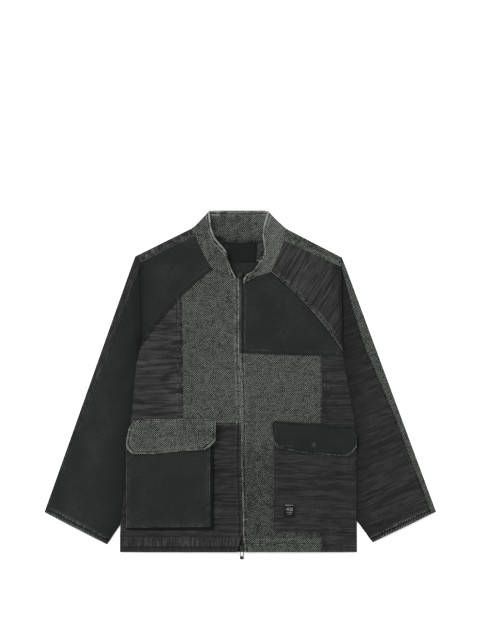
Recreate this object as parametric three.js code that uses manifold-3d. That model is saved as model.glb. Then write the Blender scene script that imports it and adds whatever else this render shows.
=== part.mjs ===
// A zip jacket patched from washed black cloths, laid flat on its back with its sleeves beside it. The back
// panel lies on the surface, the fronts lie on the back, and the collar's front halves stand up a little
// over the neck. Millimetres and +Z up. +Y runs from the hem to the collar, +X is the wearer's left. Every
// outline is measured from the middle of the hem, and the last lines move the origin to the middle of the
// laid-out jacket.
import * as THREE from "three";
import { mergeVertices } from "three/addons/utils/BufferGeometryUtils.js";
import Module from "manifold-3d";

const wasm = await Module();
wasm.setup();

// ---- Driving dimensions ----
const CLOTH = 1.6; // plain and crinkled cloth, with its turned seams
const SASHIKO = 2; // the thicker cloth with the woven diamonds
const THIN = 1; // zip tape, labels and the neck facing
const SEAM = 0.3; // between pieces that are sewn edge to edge
const LAYER = 0.4; // between pieces that lie on each other
const CROWN = 3.4; // rise of the fronts from their side edges to the zip, over the thickness of the zip
const FRONT_EDGE = CLOTH + LAYER; // underside of the fronts at their side edges
const FOLD = 1.1; // radius of a pressed fold at the middle of its cloth

const SHOULDER_SLOPE = 0.51;
const NECK_RIGHT = [-107, 711.5]; // where the shoulder meets the collar
const NECK_LEFT = [103, 710.5];
const SHOULDER_RIGHT = [-231, 650]; // where the shoulder's ridge meets the sleeve's outer fold
const SHOULDER_LEFT = [224.7, 647.5];
const ARMHOLE_RIGHT = [-220, 637]; // top of the armhole, at the shoulder strip's seams
const ARMHOLE_LEFT = [224.2, 627];
const UNDERARM_RIGHT = [-217, 456];
const UNDERARM_LEFT = [227, 439];
const ZIP_TOP = 602;
const ZIP_SPLIT = 42; // below this height the fronts part round the bottom slider
const POCKET_SEAM = 280; // the cross seam of the right front, at the top of its pocket
const HEM_BAND = 37;
const CHEST_SEAM = 437; // the cross seam of the left front, at the zip
const CUFF_RIGHT = { outer: [-430, 88], inner: [-292.3, 17] };
const CUFF_LEFT = { outer: [431, 89], inner: [291.5, 21.5] };
const COLLAR_TOP = 753;
const OVERARM_STRIP = 28; // the strip's width, front and back together
const SLIDER = { width: 9, length: 11.2, plate: 1, thick: 4.7, bridge: 2.4 };
const PULL = { width: 8.4, length: 23, thick: 1.4, dip: THREE.MathUtils.degToRad(19.8) };

// ---- Plan curves ----
const vector = ([x, y], z = 0) => new THREE.Vector3(x, y, z);
const mix = (p, q, t) => [p[0] + (q[0] - p[0]) * t, p[1] + (q[1] - p[1]) * t];
const distance = (p, q) => Math.hypot(q[0] - p[0], q[1] - p[1]);
const steps = (from, to, count) =>
  Array.from({ length: count + 1 }, (_, k) => from + ((to - from) * k) / count);

// A circular arc from p to q that bulges to the left of that direction by `rise`.
function arc(p, q, rise, count) {
  const half = distance(p, q) / 2;
  const radius = (half * half + rise * rise) / (2 * rise);
  const [ux, uy] = [(q[0] - p[0]) / (2 * half), (q[1] - p[1]) / (2 * half)];
  const centre = [(p[0] + q[0]) / 2 + uy * (radius - rise), (p[1] + q[1]) / 2 - ux * (radius - rise)];
  const swing = Math.asin(half / radius);
  return steps(-swing, swing, count).map((a) => [
    centre[0] + radius * (ux * Math.sin(a) - uy * Math.cos(a)),
    centre[1] + radius * (uy * Math.sin(a) + ux * Math.cos(a)),
  ]);
}

// The stretch of a line from `from` to `to` along an axis (0 is X, 1 is Y), with both ends worked out.
function stretch(line, axis, from, to) {
  const sorted = line[0][axis] < line.at(-1)[axis] ? line : [...line].reverse();
  const at = (value) => {
    const k = sorted.findIndex((p, i) => i > 0 && value <= p[axis] + 1e-6);
    const [p, q] = [sorted[k - 1], sorted[k]];
    return mix(p, q, (value - p[axis]) / (q[axis] - p[axis]));
  };
  const [low, high] = [Math.min(from, to), Math.max(from, to)];
  const inside = sorted.filter((p) => p[axis] > low + 1e-6 && p[axis] < high - 1e-6);
  const made = [at(low), ...inside, at(high)];
  return from < to ? made : made.reverse();
}

// `count` equal steps along a line of points.
function resample(line, count) {
  const lengths = line.slice(1).map((p, i) => distance(line[i], p));
  const total = lengths.reduce((a, b) => a + b);
  return steps(0, total, count).map((goal) => {
    let [k, left] = [0, goal];
    while (k < lengths.length - 1 && left > lengths[k]) left -= lengths[k++];
    return mix(line[k], line[k + 1], Math.min(left / lengths[k], 1));
  });
}

// A closed outline, counter-clockwise, with each side moved inwards by `gap`.
function inset(outline, gap) {
  const clockwise = THREE.ShapeUtils.isClockWise(outline.map(([x, y]) => ({ x, y })));
  const points = clockwise ? [...outline].reverse() : outline;
  return points.map((p, i) => {
    const before = points.at(i - 1);
    const after = points[(i + 1) % points.length];
    const [a, b] = [distance(before, p), distance(p, after)];
    const n = [(before[1] - p[1]) / a, (p[0] - before[0]) / a];
    const m = [(p[1] - after[1]) / b, (after[0] - p[0]) / b];
    const scale = gap / (1 + n[0] * m[0] + n[1] * m[1]);
    return [p[0] + (n[0] + m[0]) * scale, p[1] + (n[1] + m[1]) * scale];
  });
}

// ---- Solids ----
// Two equal grids of points, the faces of one piece of cloth, closed round their edges.
function closedGrid(front, back) {
  const [rows, columns] = [front.length, front[0].length];
  const position = [front, back].flat(2).flatMap((p) => [p.x, p.y, p.z]);
  const at = (side, i, j) => (side * rows + i) * columns + j;
  const index = [];
  const quad = (a, b, c, d) => index.push(a, b, c, a, c, d);
  for (let i = 0; i < rows - 1; i++) {
    for (let j = 0; j < columns - 1; j++) {
      quad(at(0, i, j), at(0, i + 1, j), at(0, i + 1, j + 1), at(0, i, j + 1));
      quad(at(1, i, j), at(1, i, j + 1), at(1, i + 1, j + 1), at(1, i + 1, j));
    }
    const last = columns - 1;
    quad(at(0, i + 1, 0), at(0, i, 0), at(1, i, 0), at(1, i + 1, 0));
    quad(at(0, i, last), at(0, i + 1, last), at(1, i + 1, last), at(1, i, last));
  }
  for (let j = 0; j < columns - 1; j++) {
    const last = rows - 1;
    quad(at(0, 0, j), at(0, 0, j + 1), at(1, 0, j + 1), at(1, 0, j));
    quad(at(0, last, j + 1), at(0, last, j), at(1, last, j), at(1, last, j + 1));
  }
  const made = new THREE.BufferGeometry();
  made.setAttribute("position", new THREE.Float32BufferAttribute(position, 3));
  made.setIndex(index);
  return made;
}

// Cloth of one thickness on a grid of points through its middle: each face is moved along the surface's
// normal.
function cloth(middle, thickness) {
  const tangent = (before, at, after) => {
    const sum = new THREE.Vector3();
    if (before) sum.add(at.clone().sub(before).normalize());
    if (after) sum.add(after.clone().sub(at).normalize());
    return sum;
  };
  const face = (offset) =>
    middle.map((row, i) =>
      row.map((p, j) => {
        const along = tangent(middle[i - 1]?.[j], p, middle[i + 1]?.[j]);
        const across = tangent(row[j - 1], p, row[j + 1]);
        return along.cross(across).normalize().multiplyScalar(offset).add(p);
      }),
    );
  return closedGrid(face(thickness / 2), face(-thickness / 2));
}

const TALL = 100; // taller than anything that it cuts

function solid(geometry) {
  const bare = geometry.clone();
  bare.deleteAttribute("normal");
  bare.deleteAttribute("uv");
  const merged = mergeVertices(bare, 1e-4);
  const vertProperties = merged.getAttribute("position").array;
  const triVerts = new Uint32Array(merged.index.array);
  return new wasm.Manifold(new wasm.Mesh({ numProp: 3, vertProperties, triVerts }));
}

function geometryOf(manifold) {
  const { vertProperties, triVerts } = manifold.getMesh();
  const made = new THREE.BufferGeometry();
  made.setAttribute("position", new THREE.BufferAttribute(vertProperties, 3));
  made.setIndex(new THREE.BufferAttribute(triVerts, 1));
  return made;
}

const plate = (outline, depth) =>
  new THREE.ExtrudeGeometry(new THREE.Shape(outline.map(([x, y]) => new THREE.Vector2(x, y))), {
    depth,
    bevelEnabled: false,
  });

// A piece that lies flat: cloth whose underside is at height(x, y), cut to its outline less half a seam
// gap. Its grid has square cells, or the given rows measured from a base line.
function laid(outline, height, thickness, { cell = 28, rows = null, baseLine = () => 0 } = {}) {
  const [xs, ys] = [0, 1].map((axis) => outline.map((p) => p[axis]));
  const grid = (values) => {
    const [low, high] = [Math.min(...values) - 1, Math.max(...values) + 1];
    return steps(low, high, Math.ceil((high - low) / cell));
  };
  const [columns, lines] = [grid(xs), rows ?? grid(ys)];
  const point = (x, y, lift) => new THREE.Vector3(x, y, height(x, y) + lift);
  const face = (lift) => columns.map((x) => lines.map((row) => point(x, row + baseLine(x), lift)));
  const cutter = plate(inset(outline, SEAM / 2), TALL).translate(0, 0, -TALL / 2);
  return geometryOf(solid(closedGrid(face(thickness), face(0))).intersect(solid(cutter)));
}

const jacket = new THREE.Group();

function add(name, geometry, color, roughness = 0.95, metalness = 0) {
  geometry.computeVertexNormals();
  const mesh = new THREE.Mesh(geometry, new THREE.MeshStandardMaterial({ color, roughness, metalness }));
  mesh.name = name;
  jacket.add(mesh);
  return mesh;
}

const COLOURS = {
  plain: 0x2c2d2d,
  crinkled: 0x303030,
  sashiko: 0x4b4e4b,
  striped: 0x333332,
  tape: 0x1c1d1d,
  metal: 0x4a4a48,
};

// ---- Heights ----
// Underside of the fronts: low at the side edges and the shoulders, and CROWN higher along the zip.
function frontUnder(x, y) {
  const halfWidth = 219 + 42 * Math.max(0, 1 - y / UNDERARM_RIGHT[1]);
  const shoulder = NECK_RIGHT[1] - SHOULDER_SLOPE * (Math.abs(x) + NECK_RIGHT[0]);
  const fall = THREE.MathUtils.smoothstep(shoulder - y, 0, 130);
  return FRONT_EDGE + CROWN * Math.max(0, 1 - (x / halfWidth) ** 4) * fall;
}
const onFront = (x, y) => frontUnder(x, y) + SASHIKO + LAYER; // underside of what lies on the fronts

// ---- Shared seams ----
const zipLine = (y) => 6 - (8 * y) / ZIP_TOP; // the closed zip leans towards the wearer's left at the hem
const ZIP_GAP = 0.4; // from the zip's line to each front's edge
const besideZip = (sign) => [ZIP_SPLIT, ZIP_TOP].map((y) => [zipLine(y) + sign * ZIP_GAP, y]);
const zipRight = [[-6, 0], [-1.4, 15], ...besideZip(-1)];
const zipLeft = [[10.6, 0], [9.4, 15], ...besideZip(1)];
const sideRight = [[-264, 0], [-251, 151.5], [-238, 303], [-232.5, 361.5], [-227, 420], UNDERARM_RIGHT];
const sideLeft = [[257, 0], [257, 214], [251, 293], [242, 343], [233, 392], UNDERARM_LEFT];
const neckFrontRight = [[-8, 602], [-36, 608], [-59, 621], [-75, 646], [-89, 674], [-98, 697], NECK_RIGHT];
const neckFrontLeft = [[7, 602], [40, 607], [68, 616], [86, 655], [97, 686], NECK_LEFT];
const neckBack = arc([89, 695], [-92, 697], 4, 8);
const raglanRight = arc(UNDERARM_RIGHT, neckFrontRight[2], 10, 8);
const raglanLeft = arc(neckFrontLeft[2], UNDERARM_LEFT, 10, 8);
const chestEdgeTop = -127;
const chestEdgeFoot = -124;
const midPanelEdge = 180;

// ---- Back ----
const backOutline = [
  ...sideRight,
  ARMHOLE_RIGHT,
  ...[...neckBack].reverse(),
  ARMHOLE_LEFT,
  ...[...sideLeft].reverse(),
];
add("back_panel", plate(inset(backOutline, SEAM / 2), CLOTH), COLOURS.plain);

// Inside the neck: a facing along the back of the neck, and the size label sewn on it.
const neckCentre = [0, 680];
const facingTop = stretch(neckBack, 0, -76, 74).map((p) => [p[0], p[1] - 0.6]);
const facing = [[-62, 638], ...facingTop, [58, 638]];
add("neck_facing", laid(facing, () => CLOTH + LAYER, THIN, { cell: 200 }), COLOURS.tape);
const neckLabel = [[-24, 640], [35, 640], [35, 678], [-24, 678]];
add("neck_label", laid(neckLabel, () => CLOTH + THIN + 2 * LAYER, THIN, { cell: 200 }), COLOURS.tape);

// ---- Fronts ----
const panel = (name, outline, thickness, color) => add(name, laid(outline, frontUnder, thickness), color);

panel(
  "yoke_right",
  [...neckFrontRight.slice(2, 6), ARMHOLE_RIGHT, ...raglanRight.slice(0, -1)],
  CLOTH,
  COLOURS.plain,
);
panel(
  "chest_right",
  [
    ...stretch(zipRight, 1, POCKET_SEAM, ZIP_TOP),
    ...neckFrontRight.slice(0, 2),
    ...stretch(raglanRight, 0, neckFrontRight[2][0], chestEdgeTop),
    [chestEdgeFoot, POCKET_SEAM],
  ],
  SASHIKO,
  COLOURS.sashiko,
);
panel(
  "side_right",
  [
    [chestEdgeFoot, POCKET_SEAM],
    ...stretch(raglanRight, 0, chestEdgeTop, UNDERARM_RIGHT[0]),
    ...stretch(sideRight, 1, UNDERARM_RIGHT[1], POCKET_SEAM).slice(1),
  ],
  CLOTH,
  COLOURS.crinkled,
);
panel(
  "lower_right",
  [...stretch(zipRight, 1, HEM_BAND, POCKET_SEAM), ...stretch(sideRight, 1, POCKET_SEAM, HEM_BAND)],
  CLOTH,
  COLOURS.crinkled,
);
panel(
  "hem_band_right",
  [...stretch(zipRight, 1, 0, HEM_BAND), ...stretch(sideRight, 1, HEM_BAND, 0)],
  CLOTH,
  COLOURS.striped,
);
panel(
  "yoke_left",
  [...neckFrontLeft.slice(2, 5), ARMHOLE_LEFT, ...[...raglanLeft].reverse().slice(0, -1)],
  CLOTH,
  COLOURS.crinkled,
);
const chestFoot = [zipLine(CHEST_SEAM) + 0.4, CHEST_SEAM];
const chestFootMiddle = [midPanelEdge, CHEST_SEAM - 6];
const chestFootSide = stretch(sideLeft, 1, 429, 430)[0];
panel(
  "chest_left",
  [
    ...stretch(zipLeft, 1, CHEST_SEAM, ZIP_TOP),
    ...neckFrontLeft.slice(0, 2),
    ...raglanLeft,
    chestFootSide,
    chestFootMiddle,
  ],
  CLOTH,
  COLOURS.plain,
);
panel(
  "mid_left",
  [...stretch(zipLeft, 1, 0, CHEST_SEAM), chestFootMiddle, [midPanelEdge, 0]],
  SASHIKO,
  COLOURS.sashiko,
);
panel(
  "side_left",
  [[midPanelEdge, 0], ...stretch(sideLeft, 1, 0, chestFootSide[1]), chestFootMiddle],
  CLOTH,
  COLOURS.crinkled,
);

// ---- Folded strips ----
// Points round a pressed fold, from the upper layer to the lower one. The cloth's outer face touches `tip`,
// `inward` points from there into the piece, and `low` is the height of the lower layer's middle.
function foldPoints(tip, inward, radius, low, thickness) {
  return steps(Math.PI / 2, -Math.PI / 2, 4).map((angle) => {
    const depth = thickness / 2 + radius * (1 - Math.cos(angle));
    const height = low + radius * (1 + Math.sin(angle));
    return new THREE.Vector3(tip[0] + inward[0] * depth, tip[1] + inward[1] * depth, height);
  });
}
const unit = (p, q) => {
  const length = distance(p, q);
  return [(q[0] - p[0]) / length, (q[1] - p[1]) / length];
};

// A strip folded over the shoulder: `ridge` is the fold's line. The seams of its two layers start beside
// the neck and meet at the top of the armhole.
function shoulderStrip(name, ridge, front, back, armhole, thickness, color) {
  const grid = steps(0, 1, 4).map((t) => {
    const tip = mix(...ridge, t);
    const [frontEnd, backEnd] = [mix(front, armhole, t), mix(back, armhole, t)];
    const inward = unit(tip, mix(frontEnd, backEnd, 0.5));
    const low = thickness / 2;
    const fold = foldPoints(tip, inward, FOLD, low, thickness);
    return [vector(frontEnd, low + 2 * FOLD), ...fold, vector(backEnd, low)];
  });
  add(name, cloth(grid, thickness), color);
}
const clear = SEAM / 2;
shoulderStrip(
  "shoulder_strip_right",
  [[NECK_RIGHT[0] - 0.4, NECK_RIGHT[1]], [SHOULDER_RIGHT[0] + clear, SHOULDER_RIGHT[1]]],
  [-98.4, 697.2 + clear],
  [-92.4, 697.2 + clear],
  [ARMHOLE_RIGHT[0] + clear, ARMHOLE_RIGHT[1] + 2 * clear],
  CLOTH,
  COLOURS.striped,
);
shoulderStrip(
  "shoulder_strip_left",
  [[NECK_LEFT[0] + 0.4, NECK_LEFT[1]], [SHOULDER_LEFT[0] - clear, SHOULDER_LEFT[1]]],
  [97.4, 686.2 + clear],
  [89.4, 695.2 + clear],
  [ARMHOLE_LEFT[0] - clear, ARMHOLE_LEFT[1] + 2 * clear],
  CLOTH,
  COLOURS.sashiko,
);

// ---- Sleeves ----
// A sleeve is a flattened tube: one piece of cloth that turns round the underarm fold, closed along the
// outer fold by the overarm strip. `inner` is the underarm fold's line and `shown(t)` is the width of the
// strip on the front. Each row runs straight across the sleeve, but the first runs down the armhole from
// its top.
function sleeve(side, shoulder, armhole, cuff, inner, shown, color, stripColor) {
  const lengths = inner.slice(1).map((p, k) => distance(inner[k], p));
  const fromStart = inner.map((_, i) => lengths.slice(0, i).reduce((sum, length) => sum + length, 0));
  const edge = CLOTH / 2 + FOLD; // where the flat layers begin
  const low = CLOTH / 2;
  const rows = inner.map((tipIn, i) => {
    const t = fromStart[i] / fromStart.at(-1);
    const tipOut = mix(shoulder, cuff, t);
    const straight = mix(tipOut, tipIn, shown(t) / distance(tipOut, tipIn));
    const seam = i === 0 ? armhole : straight; // where the strip ends and the sleeve's cloth begins
    const front = distance(tipOut, seam);
    const width = front + distance(seam, tipIn);
    const on = (q, upper) => {
      const swell = 1.2 * Math.sin((Math.PI * q) / width);
      const p = q < front ? mix(tipOut, seam, q / front) : mix(seam, tipIn, (q - front) / (width - front));
      return vector(p, upper ? low + 2 * FOLD + swell : low);
    };
    const back = OVERARM_STRIP - shown(t);
    return {
      strip: [
        on(front, true),
        ...foldPoints(tipOut, unit(tipOut, seam), FOLD, low, CLOTH),
        on(back, false),
      ],
      main: [
        ...steps(front + SEAM, width - edge, 6).map((q) => on(q, true)).slice(0, -1),
        ...foldPoints(tipIn, unit(tipIn, seam), FOLD, low, CLOTH),
        ...steps(width - edge, back + SEAM, 2).map((q) => on(q, false)).slice(1),
      ],
    };
  });
  add(`sleeve_${side}`, cloth(rows.map((row) => row.main), CLOTH), color);
  add(`overarm_strip_${side}`, cloth(rows.map((row) => row.strip), CLOTH), stripColor);
}

const beside = 0.6; // between an underarm fold and the body's side edge
const sleeveTop = ([x, y]) => [x + Math.sign(x) * 0.4, y - 0.4];
sleeve(
  "right",
  sleeveTop(SHOULDER_RIGHT),
  sleeveTop(ARMHOLE_RIGHT),
  CUFF_RIGHT.outer,
  [
    ...stretch(sideRight, 1, UNDERARM_RIGHT[1] - 0.4, 62).map(([x, y]) => [x - beside, y]),
    CUFF_RIGHT.inner,
  ],
  (t) => Math.max(15.5 - 21 * t * t - 4 * t, 2.4),
  COLOURS.plain,
  COLOURS.striped,
);
sleeve(
  "left",
  sleeveTop(SHOULDER_LEFT),
  sleeveTop(ARMHOLE_LEFT),
  CUFF_LEFT.outer,
  [
    ...stretch(sideLeft, 1, UNDERARM_LEFT[1] - 0.4, 68).map(([x, y]) => [x + beside, y]),
    CUFF_LEFT.inner,
  ],
  (t) => 21 - 15 * t + 4 * t * t,
  COLOURS.crinkled,
  COLOURS.sashiko,
);

// ---- Collar ----
// A stand collar, one band from front edge to front edge. Its back lies flat, it folds at both sides of the
// neck, and its front halves rise from the neck seam to their free edge.
const collarTopRight = [[-33, 666], [-44, 678], [-56, 696], [-66, 723], [-67, COLLAR_TOP - 1]];
const collarTopLeft = [[54, 652], [50, 672], [48, 696], [54, 725], [61, COLLAR_TOP - 2]];
const COLLAR_GAP = 0.5; // between the band and the panels along the neck seam
const pulledIn = (p) => mix(p, neckCentre, COLLAR_GAP / distance(p, neckCentre));

function collarSide(seam, top) {
  const inwardAt = unit(mix(seam.at(-1), top.at(-1), 0.5), neckCentre);
  const radius = (h) => 1.25 + 1.35 * h;
  const low = SASHIKO / 2;
  const topLine = resample(top, seam.length - 1);
  const column = (h) => {
    const tip = pulledIn(mix(seam.at(-1), top.at(-1), h));
    const fold = foldPoints(tip, inwardAt, radius(h), low, SASHIKO);
    const front = seam.slice(0, -1).map((p, k) => {
      const f = k / (seam.length - 1);
      const seamHeight = frontUnder(...p) + SASHIKO / 2 + SEAM;
      const topHeight = 14 * (1 - f) + (low + 2 * radius(1)) * f + 12 * Math.sin(Math.PI * f);
      return vector(mix(pulledIn(p), topLine[k], h), THREE.MathUtils.lerp(seamHeight, topHeight, h));
    });
    return [...front, ...fold];
  };
  return column;
}
const collarRight = collarSide(neckFrontRight, collarTopRight);
const collarLeft = collarSide(neckFrontLeft, collarTopLeft);
const collarBackSeam = [...neckBack].reverse().map((p) => [p[0] * 0.996, p[1] + COLLAR_GAP]);
const collarBackTop = resample([[-62, COLLAR_TOP - 1.5], [56, COLLAR_TOP - 1.5]], neckBack.length - 1);
const collarGrid = steps(0, 1, 4).map((h) => [
  ...collarRight(h),
  ...collarBackSeam.map((p, k) => vector(mix(p, collarBackTop[k], h), SASHIKO / 2)),
  ...collarLeft(h).reverse(),
]);
add("collar", cloth(collarGrid, SASHIKO), COLOURS.sashiko);

// ---- Right pocket: a bellows pocket with a gusset folded outwards, and a flap ----
const bellows = { left: -250, right: -62, foot: 54, mouth: 279 };
const gussetFold = 2; // radius of the gusset's outward fold
const gussetLine = [
  ...resample([[-251.5, bellows.mouth - 3], [-251.5, 51.5]], 5).map((p) => ({ p, inward: [1, 0] })),
  ...resample([[-251.5, 51.5], [-59, 51.5]], 7).map((p) => ({ p, inward: [0, 1] })),
  ...resample([[-59, 51.5], [-59, bellows.mouth - 3]], 5).map((p) => ({ p, inward: [-1, 0] })),
].reduce((line, { p, inward }) => {
  const before = line.at(-1);
  if (before && distance(before.p, p) < 1e-6) {
    before.inward = before.inward.map((value, axis) => value + inward[axis]);
  } else {
    line.push({ p, inward });
  }
  return line;
}, []);
const gusset = gussetLine.map(({ p, inward }) => {
  const base = onFront(...p) + CLOTH / 2;
  const flat = (depth, height) => {
    const q = [p[0] + inward[0] * depth, p[1] + inward[1] * depth];
    return vector(q, onFront(...q) + CLOTH / 2 + height);
  };
  return [flat(14, 2 * gussetFold), ...foldPoints(p, inward, gussetFold, base, CLOTH), flat(18, 0)];
});
add("pocket_gusset_right", cloth(gusset, CLOTH), COLOURS.plain);

const bellowsLift = CLOTH + 2 * gussetFold + LAYER; // from the front's surface to the pocket panel
const bellowsOutline = [
  [bellows.left, bellows.foot - 1],
  [bellows.right, bellows.foot + 1],
  [bellows.right, bellows.mouth],
  [bellows.left, bellows.mouth],
];
add("pocket_right", laid(bellowsOutline, (x, y) => onFront(x, y) + bellowsLift, CLOTH), COLOURS.plain);

// A flap is sewn to the front above the pocket's mouth and steps up over the pocket just below that seam.
function flap(name, outline, seamHeight, lift, drop, thickness, color) {
  const height = (x, y) => onFront(x, y) + lift * THREE.MathUtils.smoothstep(seamHeight(x) - y, 1, 1 + drop);
  const offsets = outline.map(([x, y]) => y - seamHeight(x));
  const below = steps(Math.min(...offsets) - 1, -drop - 1, 3);
  const rows = [...below, ...steps(-drop, -1, 3), Math.max(...offsets) + 2];
  add(name, laid(outline, height, thickness, { cell: 24, rows, baseLine: seamHeight }), color);
}
flap(
  "flap_right",
  [
    [-233, 290], [-244, 272], [-249, 246], [-249, 235], [-235, 217], [-185, 217], [-128, 224], [-79, 225],
    [-54, 246], [-52, 293], [-125, 295], [-202, 293],
  ],
  () => 292,
  bellowsLift + CLOTH + LAYER,
  11,
  SASHIKO,
  COLOURS.sashiko,
);

// ---- Left pocket: a patch pocket sewn flat on the front, its flap and a size label ----
const flapSeamLeft = (x) => 289 - 0.086 * (x - 73);
const patch = [[72, 47], [255, 45], [253, flapSeamLeft(253) - 10], [74, flapSeamLeft(74) - 10]];
add("pocket_left", laid(patch, onFront, CLOTH), COLOURS.crinkled);
flap(
  "flap_left",
  [
    [73, 289], [70, 282], [70, 249], [85, 229], [145, 218], [176, 216], [236, 211], [256, 232],
    [256.5, 258], [248, 270], [236, 275], [181, 283],
  ],
  flapSeamLeft,
  CLOTH + LAYER,
  8,
  CLOTH,
  COLOURS.plain,
);
const pocketLabel = [[94, 76], [122, 76], [122, 107], [94, 107]];
add("pocket_label", laid(pocketLabel, (x, y) => onFront(x, y) + CLOTH + LAYER, THIN), COLOURS.tape);

// ---- Zip: closed, with a slider at each end and a pull on the lower one ----
const zipUnder = FRONT_EDGE + CROWN - SEAM - THIN; // underside of the tapes
const chainTop = ZIP_TOP - 2;
const chainFoot = 15.5;
const chainThick = 2.2;
const tapeOuter = 14;
const chainHalf = 2.6;
const tape = (sign, foot) => [
  [foot[0], 2],
  [foot[0], chainFoot + 1],
  [zipLine(ZIP_SPLIT) + sign * (chainHalf + SEAM), ZIP_SPLIT],
  [zipLine(chainTop) + sign * (chainHalf + SEAM), chainTop],
  [zipLine(chainTop) + sign * tapeOuter, chainTop],
  [zipLine(0) + sign * tapeOuter, 2],
];
const sliderX = 4;
const sliderSide = SLIDER.width / 2 + 2 * SEAM;
const level = { cell: 700 }; // one grid cell for a piece that is level all over
const laidTape = (sign, foot) => laid(tape(sign, [foot]), () => zipUnder, THIN, level);
add("zip_tape_right", laidTape(-1, sliderX - sliderSide), COLOURS.tape);
add("zip_tape_left", laidTape(1, sliderX + sliderSide), COLOURS.tape);
const chain = [
  [zipLine(chainFoot) - chainHalf, chainFoot],
  [zipLine(chainFoot) + chainHalf, chainFoot],
  [zipLine(chainTop) + chainHalf, chainTop],
  [zipLine(chainTop) - chainHalf, chainTop],
];
const chainUnder = () => zipUnder + THIN - chainThick;
add("zip_chain", laid(chain, chainUnder, chainThick, level), COLOURS.metal, 0.5, 0.8);

// A slider: two plates joined by a post, and over the upper plate a bridge that a pull hangs on. Its origin
// is at the middle of its underside.
function sliderSolid() {
  const { width, length, thick, bridge } = SLIDER;
  const [half, end] = [width / 2, length / 2];
  const rightSide = [[half * 0.75, -end], [half, -end * 0.3], [half, end * 0.8], [half * 0.8, end]];
  const whole = [...rightSide, ...[...rightSide].reverse().map(([x, y]) => [-x, y])];
  const lower = solid(plate(whole, SLIDER.plate));
  const upper = solid(plate(whole, SLIDER.plate).translate(0, 0, thick - SLIDER.plate));
  const post = solid(new THREE.BoxGeometry(2.2, 3, thick - 0.4).translate(0, end - 2.5, thick / 2));
  const arch = new THREE.Shape();
  arch.moveTo(-5.2, -0.4).lineTo(-5.2, 3).quadraticCurveTo(-5.2, 4.8, -3, 4.8).lineTo(1.5, 4.8);
  arch.quadraticCurveTo(4.2, 4.6, 4.2, -0.4);
  arch.holes.push(new THREE.Path().moveTo(-4.3, 0.3).lineTo(3, 0.3).lineTo(2, 3.7).lineTo(-4.3, 3.7));
  const bow = new THREE.ExtrudeGeometry(arch, { depth: bridge, bevelEnabled: false, curveSegments: 5 });
  bow.translate(0, 0, -bridge / 2).rotateY(Math.PI / 2).rotateX(Math.PI / 2).translate(0, 0, thick);
  return lower.add(upper).add(post).add(solid(bow));
}
const sliderFoot = CLOTH + SEAM; // the sliders stand just clear of the back panel
const bottomSlider = add("zip_slider_bottom", geometryOf(sliderSolid()), COLOURS.metal, 0.45, 0.9);
bottomSlider.position.set(sliderX, 9, sliderFoot);
const topSlider = add("zip_slider_top", geometryOf(sliderSolid()), COLOURS.metal, 0.45, 0.9);
topSlider.position.set(-0.5, ZIP_TOP + 7, sliderFoot + 0.6);

// The pull: a long loop with a solid end. Its upper bar passes under the bridge and turns there; the loop
// hangs over the hem, and its tip is just clear of the surface.
const { width: pullWidth, length: pullLength, thick: pullThick } = PULL;
const pullShape = new THREE.Shape();
const [pullHalf, corner] = [pullWidth / 2, 1.6];
pullShape.moveTo(-pullHalf, pullThick / 2).lineTo(-pullHalf, corner - pullLength);
pullShape.quadraticCurveTo(-pullHalf, -pullLength, corner - pullHalf, -pullLength);
pullShape.lineTo(pullHalf - corner, -pullLength);
pullShape.quadraticCurveTo(pullHalf, -pullLength, pullHalf, corner - pullLength);
pullShape.lineTo(pullHalf, pullThick / 2);
const loop = [[-2.5, -pullThick / 2], [-2.5, -16], [2.5, -16], [2.5, -pullThick / 2]];
pullShape.holes.push(new THREE.Path(loop.map(([x, y]) => new THREE.Vector2(x, y))));
const pullSettings = { depth: pullThick, bevelEnabled: false, curveSegments: 4 };
const pullGeometry = new THREE.ExtrudeGeometry(pullShape, pullSettings);
const pull = add("zip_pull", pullGeometry.translate(0, 0, -pullThick / 2), COLOURS.metal, 0.4, 0.9);
const hinge = { y: 6, z: 9 };
pull.position.set(sliderX, hinge.y, hinge.z);
pull.rotation.x = PULL.dip;

// The origin goes to the middle of the laid-out jacket, on the surface: halfway from the pull's tip to the
// collar.
const pullTip = hinge.y - pullLength * Math.cos(PULL.dip);
jacket.position.y = -(COLLAR_TOP + pullTip) / 2;

export default jacket;
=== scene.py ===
"""A zip jacket patched from washed black cloths, laid flat on its back: its looks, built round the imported
frame.

Plan sizes are millimetres from the middle of the hem, +X to the wearer's left and +Y to the collar. Heights
are millimetres over the surface that the jacket lies on. Each mesh is turned to the frame's metres as it is
made.
"""
import math

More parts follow.
